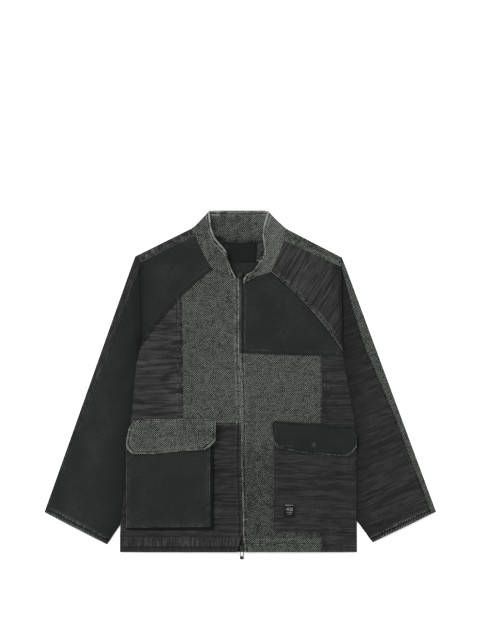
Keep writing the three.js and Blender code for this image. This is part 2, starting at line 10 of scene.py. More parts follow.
import bmesh
import bpy
import numpy as np
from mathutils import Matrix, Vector


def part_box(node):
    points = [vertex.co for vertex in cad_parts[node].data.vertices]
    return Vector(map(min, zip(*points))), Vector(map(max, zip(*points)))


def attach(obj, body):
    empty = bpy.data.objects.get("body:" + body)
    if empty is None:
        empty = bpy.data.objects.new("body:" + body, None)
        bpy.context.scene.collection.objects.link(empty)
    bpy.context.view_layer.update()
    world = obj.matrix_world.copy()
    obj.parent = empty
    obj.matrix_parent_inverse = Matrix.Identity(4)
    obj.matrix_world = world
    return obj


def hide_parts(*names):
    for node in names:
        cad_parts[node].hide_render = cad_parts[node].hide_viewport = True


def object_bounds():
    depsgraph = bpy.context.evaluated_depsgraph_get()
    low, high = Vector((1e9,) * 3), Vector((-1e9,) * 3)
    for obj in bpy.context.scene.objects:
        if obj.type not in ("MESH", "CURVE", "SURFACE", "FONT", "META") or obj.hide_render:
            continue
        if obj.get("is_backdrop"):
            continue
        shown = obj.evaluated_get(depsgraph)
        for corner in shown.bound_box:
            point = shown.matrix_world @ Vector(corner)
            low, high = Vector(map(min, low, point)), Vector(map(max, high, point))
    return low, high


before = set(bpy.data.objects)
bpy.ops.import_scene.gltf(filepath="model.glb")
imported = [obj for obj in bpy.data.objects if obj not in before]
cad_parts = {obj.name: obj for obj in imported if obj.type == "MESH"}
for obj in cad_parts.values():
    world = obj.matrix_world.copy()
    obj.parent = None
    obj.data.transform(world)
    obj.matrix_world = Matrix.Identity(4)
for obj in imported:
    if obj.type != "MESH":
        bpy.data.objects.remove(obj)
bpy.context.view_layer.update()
hem_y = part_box("back_panel")[0].y * 1000 - 0.15  # the hem in the frame, past the panel's half of a seam gap

# ---- Camera, light and floor ----
# A long lens straight above the jacket's chest, and a large soft light from the upper left over a white
# sweep, so that seams and folds cast short soft shadows to the right and downwards.
view_height = 1.408  # metres of floor seen along the upright side
view_middle = 510.4  # mm from the hem to the middle of the view
camera_data = bpy.data.cameras.new("camera")
camera_data.lens = 100
camera_data.sensor_width = 36
camera_data.clip_end = 20
camera = bpy.data.objects.new("camera", camera_data)
camera.location = (0, (view_middle + hem_y) / 1000, view_height * camera_data.lens / camera_data.sensor_width)
bpy.context.scene.collection.objects.link(camera)
bpy.context.scene.camera = camera

window_data = bpy.data.lights.new("window_light", "SUN")
window_data.angle = math.radians(28)
window_data.energy = 2.3
window_light = bpy.data.objects.new("window_light", window_data)
window_light.rotation_euler = Vector((1.7, -1.9, -2.3)).to_track_quat("-Z", "Y").to_euler()
bpy.context.scene.collection.objects.link(window_light)

world = bpy.data.worlds.new("studio")
world.use_nodes = True
world.node_tree.nodes["Background"].inputs["Color"].default_value = (1, 1, 1, 1)
world.node_tree.nodes["Background"].inputs["Strength"].default_value = 0.8
bpy.context.scene.world = world
bpy.context.scene.view_settings.view_transform = "Standard"


def linear(code):
    """An sRGB hex colour as linear red, green, blue and alpha: the sRGB curve undone for each channel."""
    channels = np.array([int(code[i : i + 2], 16) for i in (1, 3, 5)]) / 255
    flat = np.where(channels <= 0.04045, channels / 12.92, ((channels + 0.055) / 1.055) ** 2.4)
    return (*flat.tolist(), 1.0)


def add(tree, kind, inputs=(), **settings):
    """The first output of a new node, made with its settings. Its inputs, by name or in order, are each
    given a value or another node's output."""
    made = tree.nodes.new(kind)
    for key, value in settings.items():
        setattr(made, key, value)
    for key, value in inputs.items() if isinstance(inputs, dict) else enumerate(inputs):
        if isinstance(value, bpy.types.NodeSocket):
            tree.links.new(value, made.inputs[key])
        else:
            made.inputs[key].default_value = value
    return made.outputs[0]


def finish(name, slot, **surface):
    """A new material and its node tree and shader. The record's slot that it stands for is kept on the
    material."""
    material = bpy.data.materials.new(name)
    material.use_nodes = True
    material["slot"] = slot
    shader = material.node_tree.nodes["Principled BSDF"]
    for key, value in surface.items():
        shader.inputs[key.replace("_", " ").title().replace("Ior", "IOR")].default_value = value
    return material, material.node_tree, shader


floor_mesh = bpy.data.meshes.new("floor")
floor_mesh.from_pydata([(-4, -4, 0), (4, -4, 0), (4, 4, 0), (-4, 4, 0)], [], [(0, 1, 2, 3)])
floor = bpy.data.objects.new("floor", floor_mesh)
floor.location.z = -0.0002  # just clear of the jacket's underside
bpy.context.scene.collection.objects.link(floor)
paper_white, glow = linear("#f4f4f4"), linear("#ffffff")
white_paper, _, _ = finish(
    "white_paper", "", roughness=0.9, base_color=paper_white, emission_color=glow, emission_strength=0.3
)
floor_mesh.materials.append(white_paper)
floor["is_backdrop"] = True

# ---- Back panel ----
# One piece of plain washed denim from hem to neck, the lowest layer. It lies flat but for soft creases, and
# the sleeves' underarm folds, tucked under the body, lift its side seams by their own thickness.
cloth = 1.6  # thickness of plain, crinkled and streaked cloth
tuck = 7.0  # how far an underarm fold runs in under the body
tuck_lift = 3.6


def smooth(t):
    """0 below 0, 1 above 1, and a smooth S between: 3 t squared less 2 t cubed."""
    t = np.clip(t, 0, 1)
    return t * t * (3 - 2 * t)


def length_of(line):
    """The length of a broken line: the sum of its steps' lengths."""
    return np.linalg.norm(np.diff(np.asarray(line, float), axis=0), axis=1).sum()


def gone_along(points, axis=0):
    """How far each point of a line or a grid lies from the first one along an axis: the running sum of the
    steps."""
    steps = np.linalg.norm(np.diff(points, axis=axis), axis=-1)
    none_yet = np.zeros_like(np.take(steps, [0], axis=axis))
    return np.concatenate([none_yet, np.cumsum(steps, axis=axis)], axis=axis)


def along(line, shares):
    """Points at the given shares of a broken line's length, each mixed straight between two of its
    corners."""
    line = np.asarray(line, float)
    reached = gone_along(line)
    at = np.asarray(shares) * reached[-1]
    return np.stack([np.interp(at, reached, line[:, k]) for k in range(line.shape[1])], -1)


def arc(p, q, rise, count=24):
    """Points on a circular arc from p to q that bulges to the left of that way by `rise`: the centre is on
    the middle of the chord's square line, and the points are equal turns of the radius about it."""
    p, q = np.asarray(p, float), np.asarray(q, float)
    half = np.linalg.norm(q - p) / 2
    radius = (half * half + rise * rise) / (2 * rise)
    ahead = (q - p) / (2 * half)
    left = np.array([-ahead[1], ahead[0]])
    centre = (p + q) / 2 - left * (radius - rise)
    turn = np.linspace(-1, 1, count)[:, None] * np.arcsin(half / radius)
    return centre + radius * (ahead * np.sin(turn) + left * np.cos(turn))


def near(x, y, line):
    """For each point, its distance to a broken line and how far along the line the nearest point is: the
    least over the line's segments of the distance to the point's own foot on the segment."""
    line = np.asarray(line, float)
    best, where, gone = np.full(np.shape(x), 1e9), np.zeros(np.shape(x)), 0.0
    for p, q in zip(line[:-1], line[1:]):
        step = q - p
        size = np.hypot(*step)
        share = np.clip(((x - p[0]) * step[0] + (y - p[1]) * step[1]) / size**2, 0, 1)
        gap = np.hypot(x - p[0] - share * step[0], y - p[1] - share * step[1])
        where = np.where(gap < best, gone + share * size, where)
        best = np.minimum(best, gap)
        gone += size
    return best, where


def shares(length, cell):
    """Shares of a side for its grid lines: equal cells, with finer ones at both ends where the edge rounds
    over."""
    ends = np.array([0, 0.3, 0.8, 1.7])
    middle = np.linspace(3, length - 3, max(2, round((length - 6) / cell) + 1))
    return np.r_[ends, middle, length - ends[::-1]] / length


def patch(bottom, right, top, left, cell=3.0):
    """Points over a four-sided piece: its bottom and top lines mixed, plus its left and right lines mixed,
    less its four corners mixed (a Coons patch). Bottom and top run to +X, left and right run to +Y."""
    u = shares(max(length_of(bottom), length_of(top)), cell)
    v = shares(max(length_of(left), length_of(right)), cell)
    low, high = along(bottom, u), along(top, u)
    first, last = along(left, v)[:, None], along(right, v)[:, None]
    a, b = u[None, :, None], v[:, None, None]
    low_corners = (1 - a) * (1 - b) * low[0] + a * (1 - b) * low[-1]
    corners = low_corners + (1 - a) * b * high[0] + a * b * high[-1]
    return (1 - b) * low + b * high + (1 - a) * first + a * last - corners


def shell(name, middle, thickness, material, relief=0.0, wear_and_shade=0.0, uv=None, both=False):
    """A closed piece of cloth round a grid of points through its middle. Each face is moved along the
    surface's normal by half the thickness, less towards the border by a quarter circle, so that every edge
    is round. `relief` is added to the outer face, and `wear_and_shade` is stored for the material: above 0
    is worn paler, below 0 is darker, and it carries the cloth's wear together with the painted shade given
    to some pieces. `both` gives them to the inner face too. Nothing goes below the surface under the
    jacket. Returns the piece and the points of its outer and inner faces."""
    rows, columns = middle.shape[:2]
    ahead, across = np.gradient(middle, axis=1), np.gradient(middle, axis=0)
    normal = np.cross(ahead, across)
    normal /= np.linalg.norm(normal, axis=2, keepdims=True) + 1e-12
    wide, tall = gone_along(middle, 1), gone_along(middle)
    border = np.minimum(np.minimum(wide, wide[:, -1:] - wide), np.minimum(tall, tall[-1:] - tall))
    radius = thickness / 2
    half = radius * np.sqrt(1 - np.clip(1 - border / radius, 0, 1) ** 2)
    raised = relief * smooth(border / 1.5)
    outer = middle + normal * (half + raised)[..., None]
    inner = middle - normal * (half + both * raised)[..., None]
    outer[..., 2], inner[..., 2] = np.maximum(outer[..., 2], 0), np.maximum(inner[..., 2], 0)
    count = rows * columns
    front = np.arange(count).reshape(rows, columns)
    back = front.copy()
    back[1:-1, 1:-1] = count + np.arange((rows - 2) * (columns - 2)).reshape(rows - 2, columns - 2)
    quads = np.stack([front[:-1, :-1], front[:-1, 1:], front[1:, 1:], front[1:, :-1]], -1).reshape(-1, 4)
    under = np.stack([back[:-1, :-1], back[1:, :-1], back[1:, 1:], back[:-1, 1:]], -1).reshape(-1, 4)
    points = np.vstack([outer.reshape(-1, 3), inner[1:-1, 1:-1].reshape(-1, 3)])
    if uv is None:
        uv = np.stack([wide, tall], -1)
    worn = np.broadcast_to(wear_and_shade, (rows, columns))
    flat = np.vstack([uv.reshape(-1, 2), uv[1:-1, 1:-1].reshape(-1, 2)])
    values = np.r_[worn.ravel(), float(both) * worn[1:-1, 1:-1].ravel()]
    made = mesh_object(f"{name}_cloth", points, np.vstack([quads, under]), material, wear_and_shade=values, uv=flat)
    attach(made, "jacket")
    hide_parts(name)
    made["cut"] = [float(wide.max()), float(tall.max()), float(outer_area(outer))]
    return made, outer, inner


def outer_area(grid):
    """The area of a grid of points: for each cell, half the length of the cross product of its
    diagonals."""
    cross = np.cross(grid[1:, 1:] - grid[:-1, :-1], grid[1:, :-1] - grid[:-1, 1:])
    return np.linalg.norm(cross, axis=2).sum() / 2


def mesh_object(name, points, faces, material, wear_and_shade=None, uv=None):
    """An object made from arrays of points in mm and of faces that all have the same number of corners."""
    mesh = bpy.data.meshes.new(name)
    sides = faces.shape[1]
    placed = (points + np.array([0, hem_y, 0])) / 1000
    mesh.vertices.add(len(points))
    mesh.vertices.foreach_set("co", placed.astype(np.float32).ravel())
    mesh.loops.add(faces.size)
    mesh.loops.foreach_set("vertex_index", faces.astype(np.int32).ravel())
    mesh.polygons.add(len(faces))
    mesh.polygons.foreach_set("loop_start", np.arange(0, faces.size, sides, dtype=np.int32))
    mesh.update(calc_edges=True)
    mesh.polygons.foreach_set("use_smooth", np.ones(len(faces), bool))
    if wear_and_shade is not None:
        mesh.attributes.new("wear_and_shade", "FLOAT", "POINT").data.foreach_set("value", wear_and_shade.astype(np.float32))
    if uv is not None:
        corners = (uv[faces.ravel()] / 1000).astype(np.float32)
        mesh.uv_layers.new(name="cloth").data.foreach_set("uv", corners.ravel())
    mesh.materials.append(material)
    made = bpy.data.objects.new(name, mesh)
    bpy.context.scene.collection.objects.link(made)
    return made


def total(tree, *levels):
    """The sum of some levels, added one after another."""
    whole = levels[0]
    for level in levels[1:]:
        whole = add(tree, "ShaderNodeMath", (whole, level), operation="ADD")
    return whole


def scaled(tree, level, factor, start=0.0):
    """A level times a factor, plus a start."""
    return add(tree, "ShaderNodeMath", (level, factor, start), operation="MULTIPLY_ADD")


def cloth_place(tree, across, up, turn=0):
    """The piece's own cloth coordinates turned by an angle in degrees, then counted in spacings given in
    mm."""
    place = add(tree, "ShaderNodeUVMap", {}, uv_map="cloth")
    turned = {"Vector": place, "Rotation": (0, 0, math.radians(turn)), "Scale": (1000 / across, 1000 / up, 1)}
    return add(tree, "ShaderNodeMapping", turned)


def mottle(tree, across, up, amount, detail=3.0):
    """Soft noise of a size in mm, as an amount either side of 0."""
    cells = {"Vector": cloth_place(tree, across, up), "Scale": 1.0, "Detail": detail}
    return scaled(tree, add(tree, "ShaderNodeTexNoise", cells), 2 * amount, -amount)


def between(first, second, share=0.5):
    """The sRGB hex colour at a share of the way from one to another, so that steps look even to the eye."""
    pairs = [(int(first[i : i + 2], 16), int(second[i : i + 2], 16)) for i in (1, 3, 5)]
    return "#" + "".join(f"{round(a + (b - a) * share):02x}" for a, b in pairs)


def coloured(tree, shader, level, stops):
    """Colours the surface by a level from 0 to 1: each stop is a position and an sRGB hex colour, mixed
    straight to the next."""
    ramp = tree.nodes.new("ShaderNodeValToRGB")
    tree.links.new(level, ramp.inputs["Fac"])
    elements = ramp.color_ramp.elements
    for element, (position, code) in ((elements[0], stops[0]), (elements[1], stops[-1])):
        element.position = position
        element.color = linear(code)
    for position, code in stops[1:-1]:
        elements.new(position).color = linear(code)
    tree.links.new(ramp.outputs["Color"], shader.inputs["Base Color"])


def dye(tree, shader, level, dark, middle, pale, grain, depth):
    """Colours the cloth from dark at -1 over its middle colour to pale at 1, by a level and the wear and
    painted shade stored on the piece, and raises its grain by a depth in mm."""
    stored = tree.nodes.new("ShaderNodeAttribute")
    stored.attribute_name = "wear_and_shade"
    whole = scaled(tree, total(tree, stored.outputs["Fac"], level), 0.5, 0.5)
    half_dark, worn, rubbed = between(dark, middle), between(middle, pale, 0.3), between(middle, pale, 0.6)
    stops = [(0, dark), (0.25, half_dark), (0.5, middle), (0.65, worn), (0.8, rubbed), (1, pale)]
    coloured(tree, shader, whole, stops)
    bump = {"Height": grain, "Strength": 0.6, "Distance": depth / 1000}
    tree.links.new(add(tree, "ShaderNodeBump", bump), shader.inputs["Normal"])


def denim(name, slot, dark, middle, pale, clouds):
    """Washed black denim: cotton twill dyed with sulphur black, then stone-washed. Its dye is uneven in
    soft clouds of about 45 mm, and its twill line is 1.3 mm, drawn twice as wide as the real one so that it
    shows."""
    material, tree, shader = finish(name, slot, roughness=0.92, specular_ior_level=0.12, sheen_weight=0.0)
    twill_line = {"Vector": cloth_place(tree, 1.3, 1.3, 63), "Scale": 1 / 3.1, "Distortion": 0.6}
    twill = add(tree, "ShaderNodeTexWave", twill_line)
    specks = mottle(tree, 2.6, 1.2, 0.22)
    level = total(tree, mottle(tree, 45, 45, clouds, 1.0), specks, mottle(tree, 9, 6, 0.1))
    grain = total(tree, specks, scaled(tree, twill, 0.3))
    dye(tree, shader, level, dark, middle, pale, grain, 0.3)
    return material


plain_denim = denim("washed_black_denim", "plain_denim", "#0e0f0f", "#202222", "#6c6e6c", 0.05)

side_right = [[-264, 0], [-264, 38], [-262.6, 66], [-251, 151.5], [-238, 303], [-232.5, 361.5], [-227, 420]]
side_right = np.array([*side_right, [-217, 456]], float)
side_left = np.array([[257, 0], [257, 214], [251, 293], [242, 343], [233, 392], [227, 439]], float)
armhole_right = np.array([side_right[-1], [-220, 637]])
armhole_left = np.array([side_left[-1], [224.2, 627]])
neck_back = arc([89, 695], [-92, 697], 4)[::-1]


def side_reach(x, y):
    """How far a point lies inside the nearer side edge, in mm: the edge's X at that height less the
    point's."""
    right = -np.interp(y, side_right[:, 1], side_right[:, 0])
    left = np.interp(y, side_left[:, 1], side_left[:, 0])
    return np.where(x < 0, right, left) - np.abs(x)


def tucked(y):
    """1 where the sleeves run under the body and 0 above and below, with a smooth change between."""
    return smooth((y - 64) / 60) * smooth((470 - y) / 70)


def lifted(x, y):
    """Rise of the body over the tucked sleeves: full at the side edge and gone 34 mm inside it."""
    return tuck_lift * tucked(y) * (1 - smooth((side_reach(x, y) - tuck) / 34))


def creased(x, y, creases):
    """Height of the main creases, as listed. Each is (line, width, height): a soft ridge, or a trough
    where the height is below 0, that falls off to both sides by a bell curve and dies away over a quarter
    of its length at each end."""
    height = np.zeros(np.shape(x))
    for line, width, rise in creases:
        gap, place = near(x, y, line)
        share = place / length_of(line)
        height += rise * np.exp(-((gap / width) ** 2)) * smooth(4 * share) * smooth(4 - 4 * share)
    return height


back_creases = [
    ([(-212, 610), (-140, 566), (-66, 545)], 15, 1.4),
    ([(214, 596), (130, 550), (66, 534)], 15, 1.4),
    ([(-222, 446), (-165, 392), (-92, 360)], 17, 1.4),
    ([(222, 424), (150, 362), (84, 340)], 17, 1.4),
    ([(-228, 330), (-160, 306), (-90, 312)], 14, 1.0),
    ([(232, 250), (160, 214), (70, 208)], 16, 1.1),
    ([(-236, 204), (-150, 164), (-66, 158)], 17, 1.2),
    ([(-120, 96), (-20, 84), (90, 102)], 16, 0.8),
]
back_grid = patch(
    [side_right[0], side_left[0]],
    np.vstack([side_left, armhole_left[1]]),
    np.vstack([armhole_right[1], neck_back, armhole_left[1]]),
    np.vstack([side_right, armhole_right[1]]),
    6.0,
)


def flat_piece(plan, height):
    """A grid of plan points with a height for each."""
    return np.dstack([plan, height])


def sheet(made):
    """Reads the size a piece was cut to, its own width, length and area, and keeps the area no larger than
    its width times its length; nothing further is done with them."""
    width, length, area = made["cut"]
    area = min(area, width * length)


back_x, back_y = back_grid[..., 0], back_grid[..., 1]
back_height = cloth / 2 + lifted(back_x, back_y) + creased(back_x, back_y, back_creases)
back_middle = flat_piece(back_grid, back_height)
back_panel, _, _ = shell("back_panel", back_middle, cloth, plain_denim, uv=back_grid)
sheet(back_panel)

# ---- Inside the neck ----
# A black twill facing behind the neck seam, and on it the size label, a folded black satin tag left bare.
# Both lie on the back panel's inner face and are sewn round their edges.


def noise(x, y, size, seed, long=1.0):
    """Smooth random relief from -1 to 1: random values on a lattice whose cells are `size` by `size *
    long`, mixed by an S curve between the four corners of each cell."""
    table = np.random.default_rng(seed).uniform(-1, 1, (257, 257))
    a, b = np.asarray(x) / size + 61.3, np.asarray(y) / (size * long) + 47.9
    i, j = np.floor(a).astype(int), np.floor(b).astype(int)
    s, t = smooth(a - i), smooth(b - j)
    i, j = i % 256, j % 256
    low = table[i, j] * (1 - s) + table[i + 1, j] * s
    high = table[i, j + 1] * (1 - s) + table[i + 1, j + 1] * s
    return low * (1 - t) + high * t


def stretch(line, axis, start, end):
    """The part of a line between two values along an axis, its ends worked out by a straight mix."""
    line = np.asarray(line, float)
    if line[0, axis] > line[-1, axis]:
        line = line[::-1]
    low, high = sorted((start, end))
    ends = [np.array([np.interp(v, line[:, axis], line[:, k]) for k in (0, 1)]) for v in (low, high)]
    kept = line[(line[:, axis] > low) & (line[:, axis] < high)]
    made = np.vstack([ends[0], kept, ends[1]])
    return made if start < end else made[::-1]


thin = 1.0  # thickness of the facing, the tapes and the labels
black_twill = denim("black_cotton_twill", "twill_tape", "#0c0d0d", "#1c1d1d", "#5a5c5a", 0.06)
label_satin = denim("folded_black_satin", "woven_label", "#0f1010", "#171818", "#4a4c4b", 0.1)
facing_top = stretch(neck_back, 0, -76, 74) - [0, 0.6]
facing_foot = [[-66, 638], [62, 638]]
facing_height = 2.5
facing_ends = [[facing_foot[0], facing_top[0]], [facing_foot[1], facing_top[-1]]]
facing_plan = patch(facing_foot, facing_ends[1], facing_top, facing_ends[0])
facing_x, facing_y = facing_plan[..., 0], facing_plan[..., 1]
from_foot = near(facing_x, facing_y, facing_foot)[0]
facing_fade = 0.9 * np.exp(-(((from_foot - 3) / 1.2) ** 2)) + 0.2 * noise(facing_x, facing_y, 9, 5)
worn_end = smooth((facing_x - 36) / 2) * (0.35 + 0.5 * noise(facing_x, facing_y, 2.6, 6))
facing_middle = flat_piece(facing_plan, facing_height + 0 * facing_x)
facing, _, _ = shell("neck_facing", facing_middle, thin, black_twill, wear_and_shade=facing_fade + worn_end)
sheet(facing)


def oblong(left, foot, right, head, cell):
    """Points over a rectangle with its sides along X and Y."""
    corners = [[left, foot], [right, foot], [right, head], [left, head]]
    return patch(corners[:2], corners[1:3], [corners[3], corners[2]], [corners[0], corners[3]], cell)


tag_plan = oblong(-24, 640, 35, 678, 2.0)
tag_rise = 0.5 * np.sin(np.pi * (tag_plan[..., 0] + 24) / 59) * smooth((678 - tag_plan[..., 1]) / 20)
neck_tag, _, _ = shell("neck_label", flat_piece(tag_plan, facing_height + 1.4 + tag_rise), thin, label_satin)
sheet(neck_tag)

# ---- Fronts ----
# Nine panels of four cloths, sewn edge to edge and topstitched: plain denim, denim crinkled in fine rows, a
# thick cloth woven with small diamonds, and a streaked cloth for the right hem band. They lie on the back,
# highest over the zip.
sashiko = 2.0  # thickness of the cloth with woven diamonds
crown = 3.4  # how much higher the fronts lie over the zip than at their edges
zip_top = 602.0
front_edge = cloth + 0.1  # height of the fronts' underside, just clear of the back
neck_right, neck_left = np.array([-107.0, 711.5]), np.array([103.0, 710.5])
tops = {}  # the outer face of each piece, as a grid of points for the stitching


def zip_line(y):
    """X of the closed zip: it leans 8 mm to the wearer's left from its top to the hem, with a slight
    sway."""
    return 6 - 8 * y / zip_top + 0.9 * np.sin(y / 41) * smooth(y / 60) * smooth((600 - y) / 60)


zip_y = np.r_[np.linspace(42, 600, 40), zip_top]
zip_right = np.vstack([[-6, 0], [-4.6, 6], [-1.4, 17], np.stack([zip_line(zip_y) - 0.5, zip_y], -1)])
zip_left = np.vstack([[10.6, 0], [9.8, 8], [9.2, 17], np.stack([zip_line(zip_y) + 0.5, zip_y], -1)])
neck_front_right = [[-8, 602], [-36, 608], [-59, 621], [-75, 646], [-89, 674], [-98, 697], neck_right]
neck_front_right = np.array(neck_front_right)
neck_front_left = np.array([[7, 602], [40, 607], [68, 616], [86, 655], [97, 686], neck_left])
raglan_right = arc(side_right[-1], neck_front_right[2], 10)
raglan_left = arc(neck_front_left[2], side_left[-1], 10)
chest_edge = np.array([[-124, 280], [-125.5, 420], [-127, stretch(raglan_right, 0, -127, -120)[0, 1]]], float)
chest_foot = np.array([[zip_line(437.0) + 0.5, 437], [60, 435], [180, 431], [228.4, 429]], float)
mid_edge = np.array([[180, 0], [180, 431]], float)
side_at_chest = stretch(side_right, 1, 280, 300)[0]
zip_at_chest = [zip_line(280.0) - 0.5, 280]
band_seam = [stretch(side_right, 1, 37, 40)[0], stretch(zip_right, 1, 37, 42)[0]]
front_creases = [
    ([(-122, 672), (-160, 622), (-212, 590)], 13, 1.2),
    ([(-84, 640), (-128, 588), (-196, 548)], 12, -1.0),
    ([(-60, 575), (-100, 520), (-104, 450)], 16, 0.9),
    ([(-20, 540), (-66, 470), (-70, 396)], 15, -0.7),
    ([(-222, 446), (-184, 404), (-138, 388)], 11, 1.3),
    ([(-232, 366), (-186, 344), (-134, 340)], 10, -1.0),
    ([(-238, 318), (-180, 306), (-130, 312)], 9, 0.8),
    ([(22, 586), (72, 540), (92, 470)], 15, 1.1),
    ([(60, 560), (126, 520), (158, 462)], 14, -0.9),
    ([(112, 640), (160, 606), (212, 584)], 13, 1.1),
    ([(130, 590), (176, 556), (216, 520)], 12, -0.8),
    ([(228, 430), (198, 388), (150, 366)], 12, 1.3),
    ([(242, 350), (210, 330), (168, 326)], 10, -0.9),
    ([(20, 396), (84, 366), (150, 376)], 15, 0.8),
    ([(-40, 240), (-22, 180), (-30, 110)], 9, 0.8),
    ([(20, 250), (48, 190), (44, 120)], 10, 0.7),
]


def front_under(x, y):
    """Underside of the fronts: low at the side edges and shoulders, and a crown higher over the zip, flat
    in the middle by a fourth power. Soft dents and swells 60 to 150 mm across are added where the cloth
    isn't pulled tight, and the main creases, which run from the underarms, the shoulders and the zip."""
    half = 219 + 42 * np.maximum(0, 1 - y / 456)
    shoulder = neck_right[1] - 0.51 * (np.abs(x) - 107)
    arch = np.maximum(0, 1 - (x / half) ** 4)
    fall = smooth((shoulder - y) / 130)
    loose = smooth((side_reach(x, y) + 40 * (y > 440)) / 50) * smooth((shoulder - y) / 60)
    swell = 1.1 * noise(x, y, 130, 11) + 0.55 * noise(x, y, 52, 12)
    folds = creased(x, y, front_creases)
    return front_edge + crown * arch * fall + loose * (0.9 + swell + folds) + lifted(x, y)


def crinkle(across, along_it, seed):
    """Rows of pressed crinkles, from -1 in a crease to about 0.4 on a ridge: a noise drawn out along the
    rows is creased where it crosses 0, every 8 mm or so, the rows swayed by broad noise and fading in and
    out."""
    bend = across + 2.2 * noise(along_it, across, 85, seed) + 0.5 * noise(along_it, across, 26, seed + 1)
    drawn = noise(bend, along_it, 5.4, seed + 2, 22)
    broad = noise(bend, along_it, 9.5, seed + 3, 9)
    strength = 0.8 + 0.4 * noise(across, along_it, 38, seed + 4)
    return (0.22 - np.exp(-((drawn / 0.17) ** 2)) + 0.1 * broad) * strength


def felled(gap, place, width, seed, pale=0.6):
    """A felled seam, as height and fade at a distance from its edge. The doubled cloth stands 0.6 mm proud
    as far as its width, is drawn down along a stitch row near each edge, and puckers every 6 mm or so
    between the stitches. Its edges and puckers are rubbed pale and its stitch rows are dark."""
    inside = 1 - smooth((gap - width) / 2)
    rows = np.exp(-(((gap - 2.2) / 0.9) ** 2)) + np.exp(-(((gap - width + 1.6) / 0.9) ** 2))
    pucker = noise(place, gap, 3.1, seed, 2.2)
    height = 0.6 * inside - 0.4 * rows + 0.22 * pucker * np.exp(-(((gap - width / 2) / width) ** 2))
    rub = np.exp(-((gap / 1.3) ** 2)) + 0.7 * np.exp(-(((gap - width) / 1.2) ** 2))
    patchy = 0.55 + 0.45 * noise(place, gap, 22, seed + 1)
    wear_and_shade = pale * (rub * patchy + 0.45 * pucker * inside) - 0.45 * rows
    return height, wear_and_shade


def crinkled(name, slot):
    """Washed black denim set in fine crinkles before dyeing, so that each crease keeps more dye than the
    ridge beside it: thin dark lines 2 to 5 mm apart and about 100 mm long, along U on the cloth, where a
    drawn-out noise is near 0."""
    material, tree, shader = finish(name, slot, roughness=0.92, specular_ior_level=0.12, sheen_weight=0.0)
    crossing = add(tree, "ShaderNodeMath", [mottle(tree, 110, 4.6, 9.0, 2.0)], operation="ABSOLUTE")
    capped = add(tree, "ShaderNodeMath", (crossing, 1.0), operation="MINIMUM")
    lines = scaled(tree, capped, 0.42, -0.36)
    level = total(tree, lines, mottle(tree, 2.4, 1.6, 0.45), mottle(tree, 24, 14, 0.2))
    dye(tree, shader, level, "#0d0d0d", "#242424", "#686867", lines, 0.5)
    return material


def rim(gap, place, width, seed, pale=0.6, dark=0.5):
    """A turned and topstitched free edge, as height and fade at a distance from it. The fold is rubbed pale
    in patches, a dark stitch row runs at three fifths of the turning's width, and a paler ridge lies along
    its raw edge."""
    inside = 1 - smooth((gap - width) / 2)
    edge = np.exp(-((gap / 2.4) ** 2))
    groove = np.exp(-(((gap - 0.6 * width) / 1.2) ** 2))
    ridge = np.exp(-(((gap - width) / 1.5) ** 2))
    pucker = noise(place, gap, 2.8, seed, 3)
    patchy = 0.7 + 0.45 * noise(place, gap, 13, seed + 1)
    height = 0.3 * inside - 0.45 * groove + 0.2 * ridge + 0.2 * pucker * inside
    wear_and_shade = pale * patchy * (edge + 0.55 * ridge) + 0.3 * pale * pucker * inside - dark * groove
    return height, wear_and_shade


crinkled_denim = crinkled("crinkled_black_denim", "crinkled_denim")


def sashiko_weave(name, slot):
    """Thick cotton with woven diamonds: grey weft floats over a black ground, 3.3 mm apart along both
    diagonals, drawn a third coarser than the real ones so that they show. Wear takes the pattern's contrast
    away in patches."""
    material, tree, shader = finish(name, slot, roughness=0.95, specular_ior_level=0.12, sheen_weight=0.0)
    sway_cells = {"Vector": cloth_place(tree, 14, 14), "Scale": 1.0, "Detail": 1.0}
    swayed = add(tree, "ShaderNodeTexNoise", sway_cells)
    turns = {0: cloth_place(tree, 4.7 / (2 * math.pi), 4.7 / (2 * math.pi)), 1: swayed}
    waves = add(tree, "ShaderNodeVectorMath", {0: add(tree, "ShaderNodeVectorMath", turns)}, operation="SINE")
    parts = tree.nodes.new("ShaderNodeSeparateXYZ")
    tree.links.new(waves, parts.inputs[0])
    dots = scaled(tree, parts.outputs[0], parts.outputs[1])
    woven = scaled(tree, dots, total(tree, mottle(tree, 16, 16, 1.0), 1.1))
    level = total(tree, woven, mottle(tree, 2.3, 2.3, 1.7), mottle(tree, 11, 5, 0.4))
    dye(tree, shader, level, "#0a0b0b", "#252827", "#828580", level, 0.4)
    return material


sashiko_cloth = sashiko_weave("sashiko_woven_cotton", "sashiko_cloth")


def streaked(name, slot):
    """Black cotton with pale broken streaks 4 to 12 mm apart along one way of the cloth, rubbed out in
    places."""
    material, tree, shader = finish(name, slot, roughness=0.93, specular_ior_level=0.12, sheen_weight=0.0)
    level = total(tree, mottle(tree, 3.4, 34, 0.85), mottle(tree, 1.8, 2.4, 0.6), -0.03)
    dye(tree, shader, level, "#101010", "#262626", "#6c6d6b", level, 0.3)
    return material


striped_cloth = streaked("streaked_cotton", "striped_cloth")
cloths = {
    "plain": (plain_denim, cloth),
    "crinkled": (crinkled_denim, cloth),
    "sashiko": (sashiko_cloth, sashiko),
    "striped": (striped_cloth, cloth),
}


def turned(x, y, degrees):
    """How far points lie across and along rows that are turned from +X by an angle."""
    turn = math.radians(degrees)
    return y * math.cos(turn) - x * math.sin(turn), x * math.cos(turn) + y * math.sin(turn)


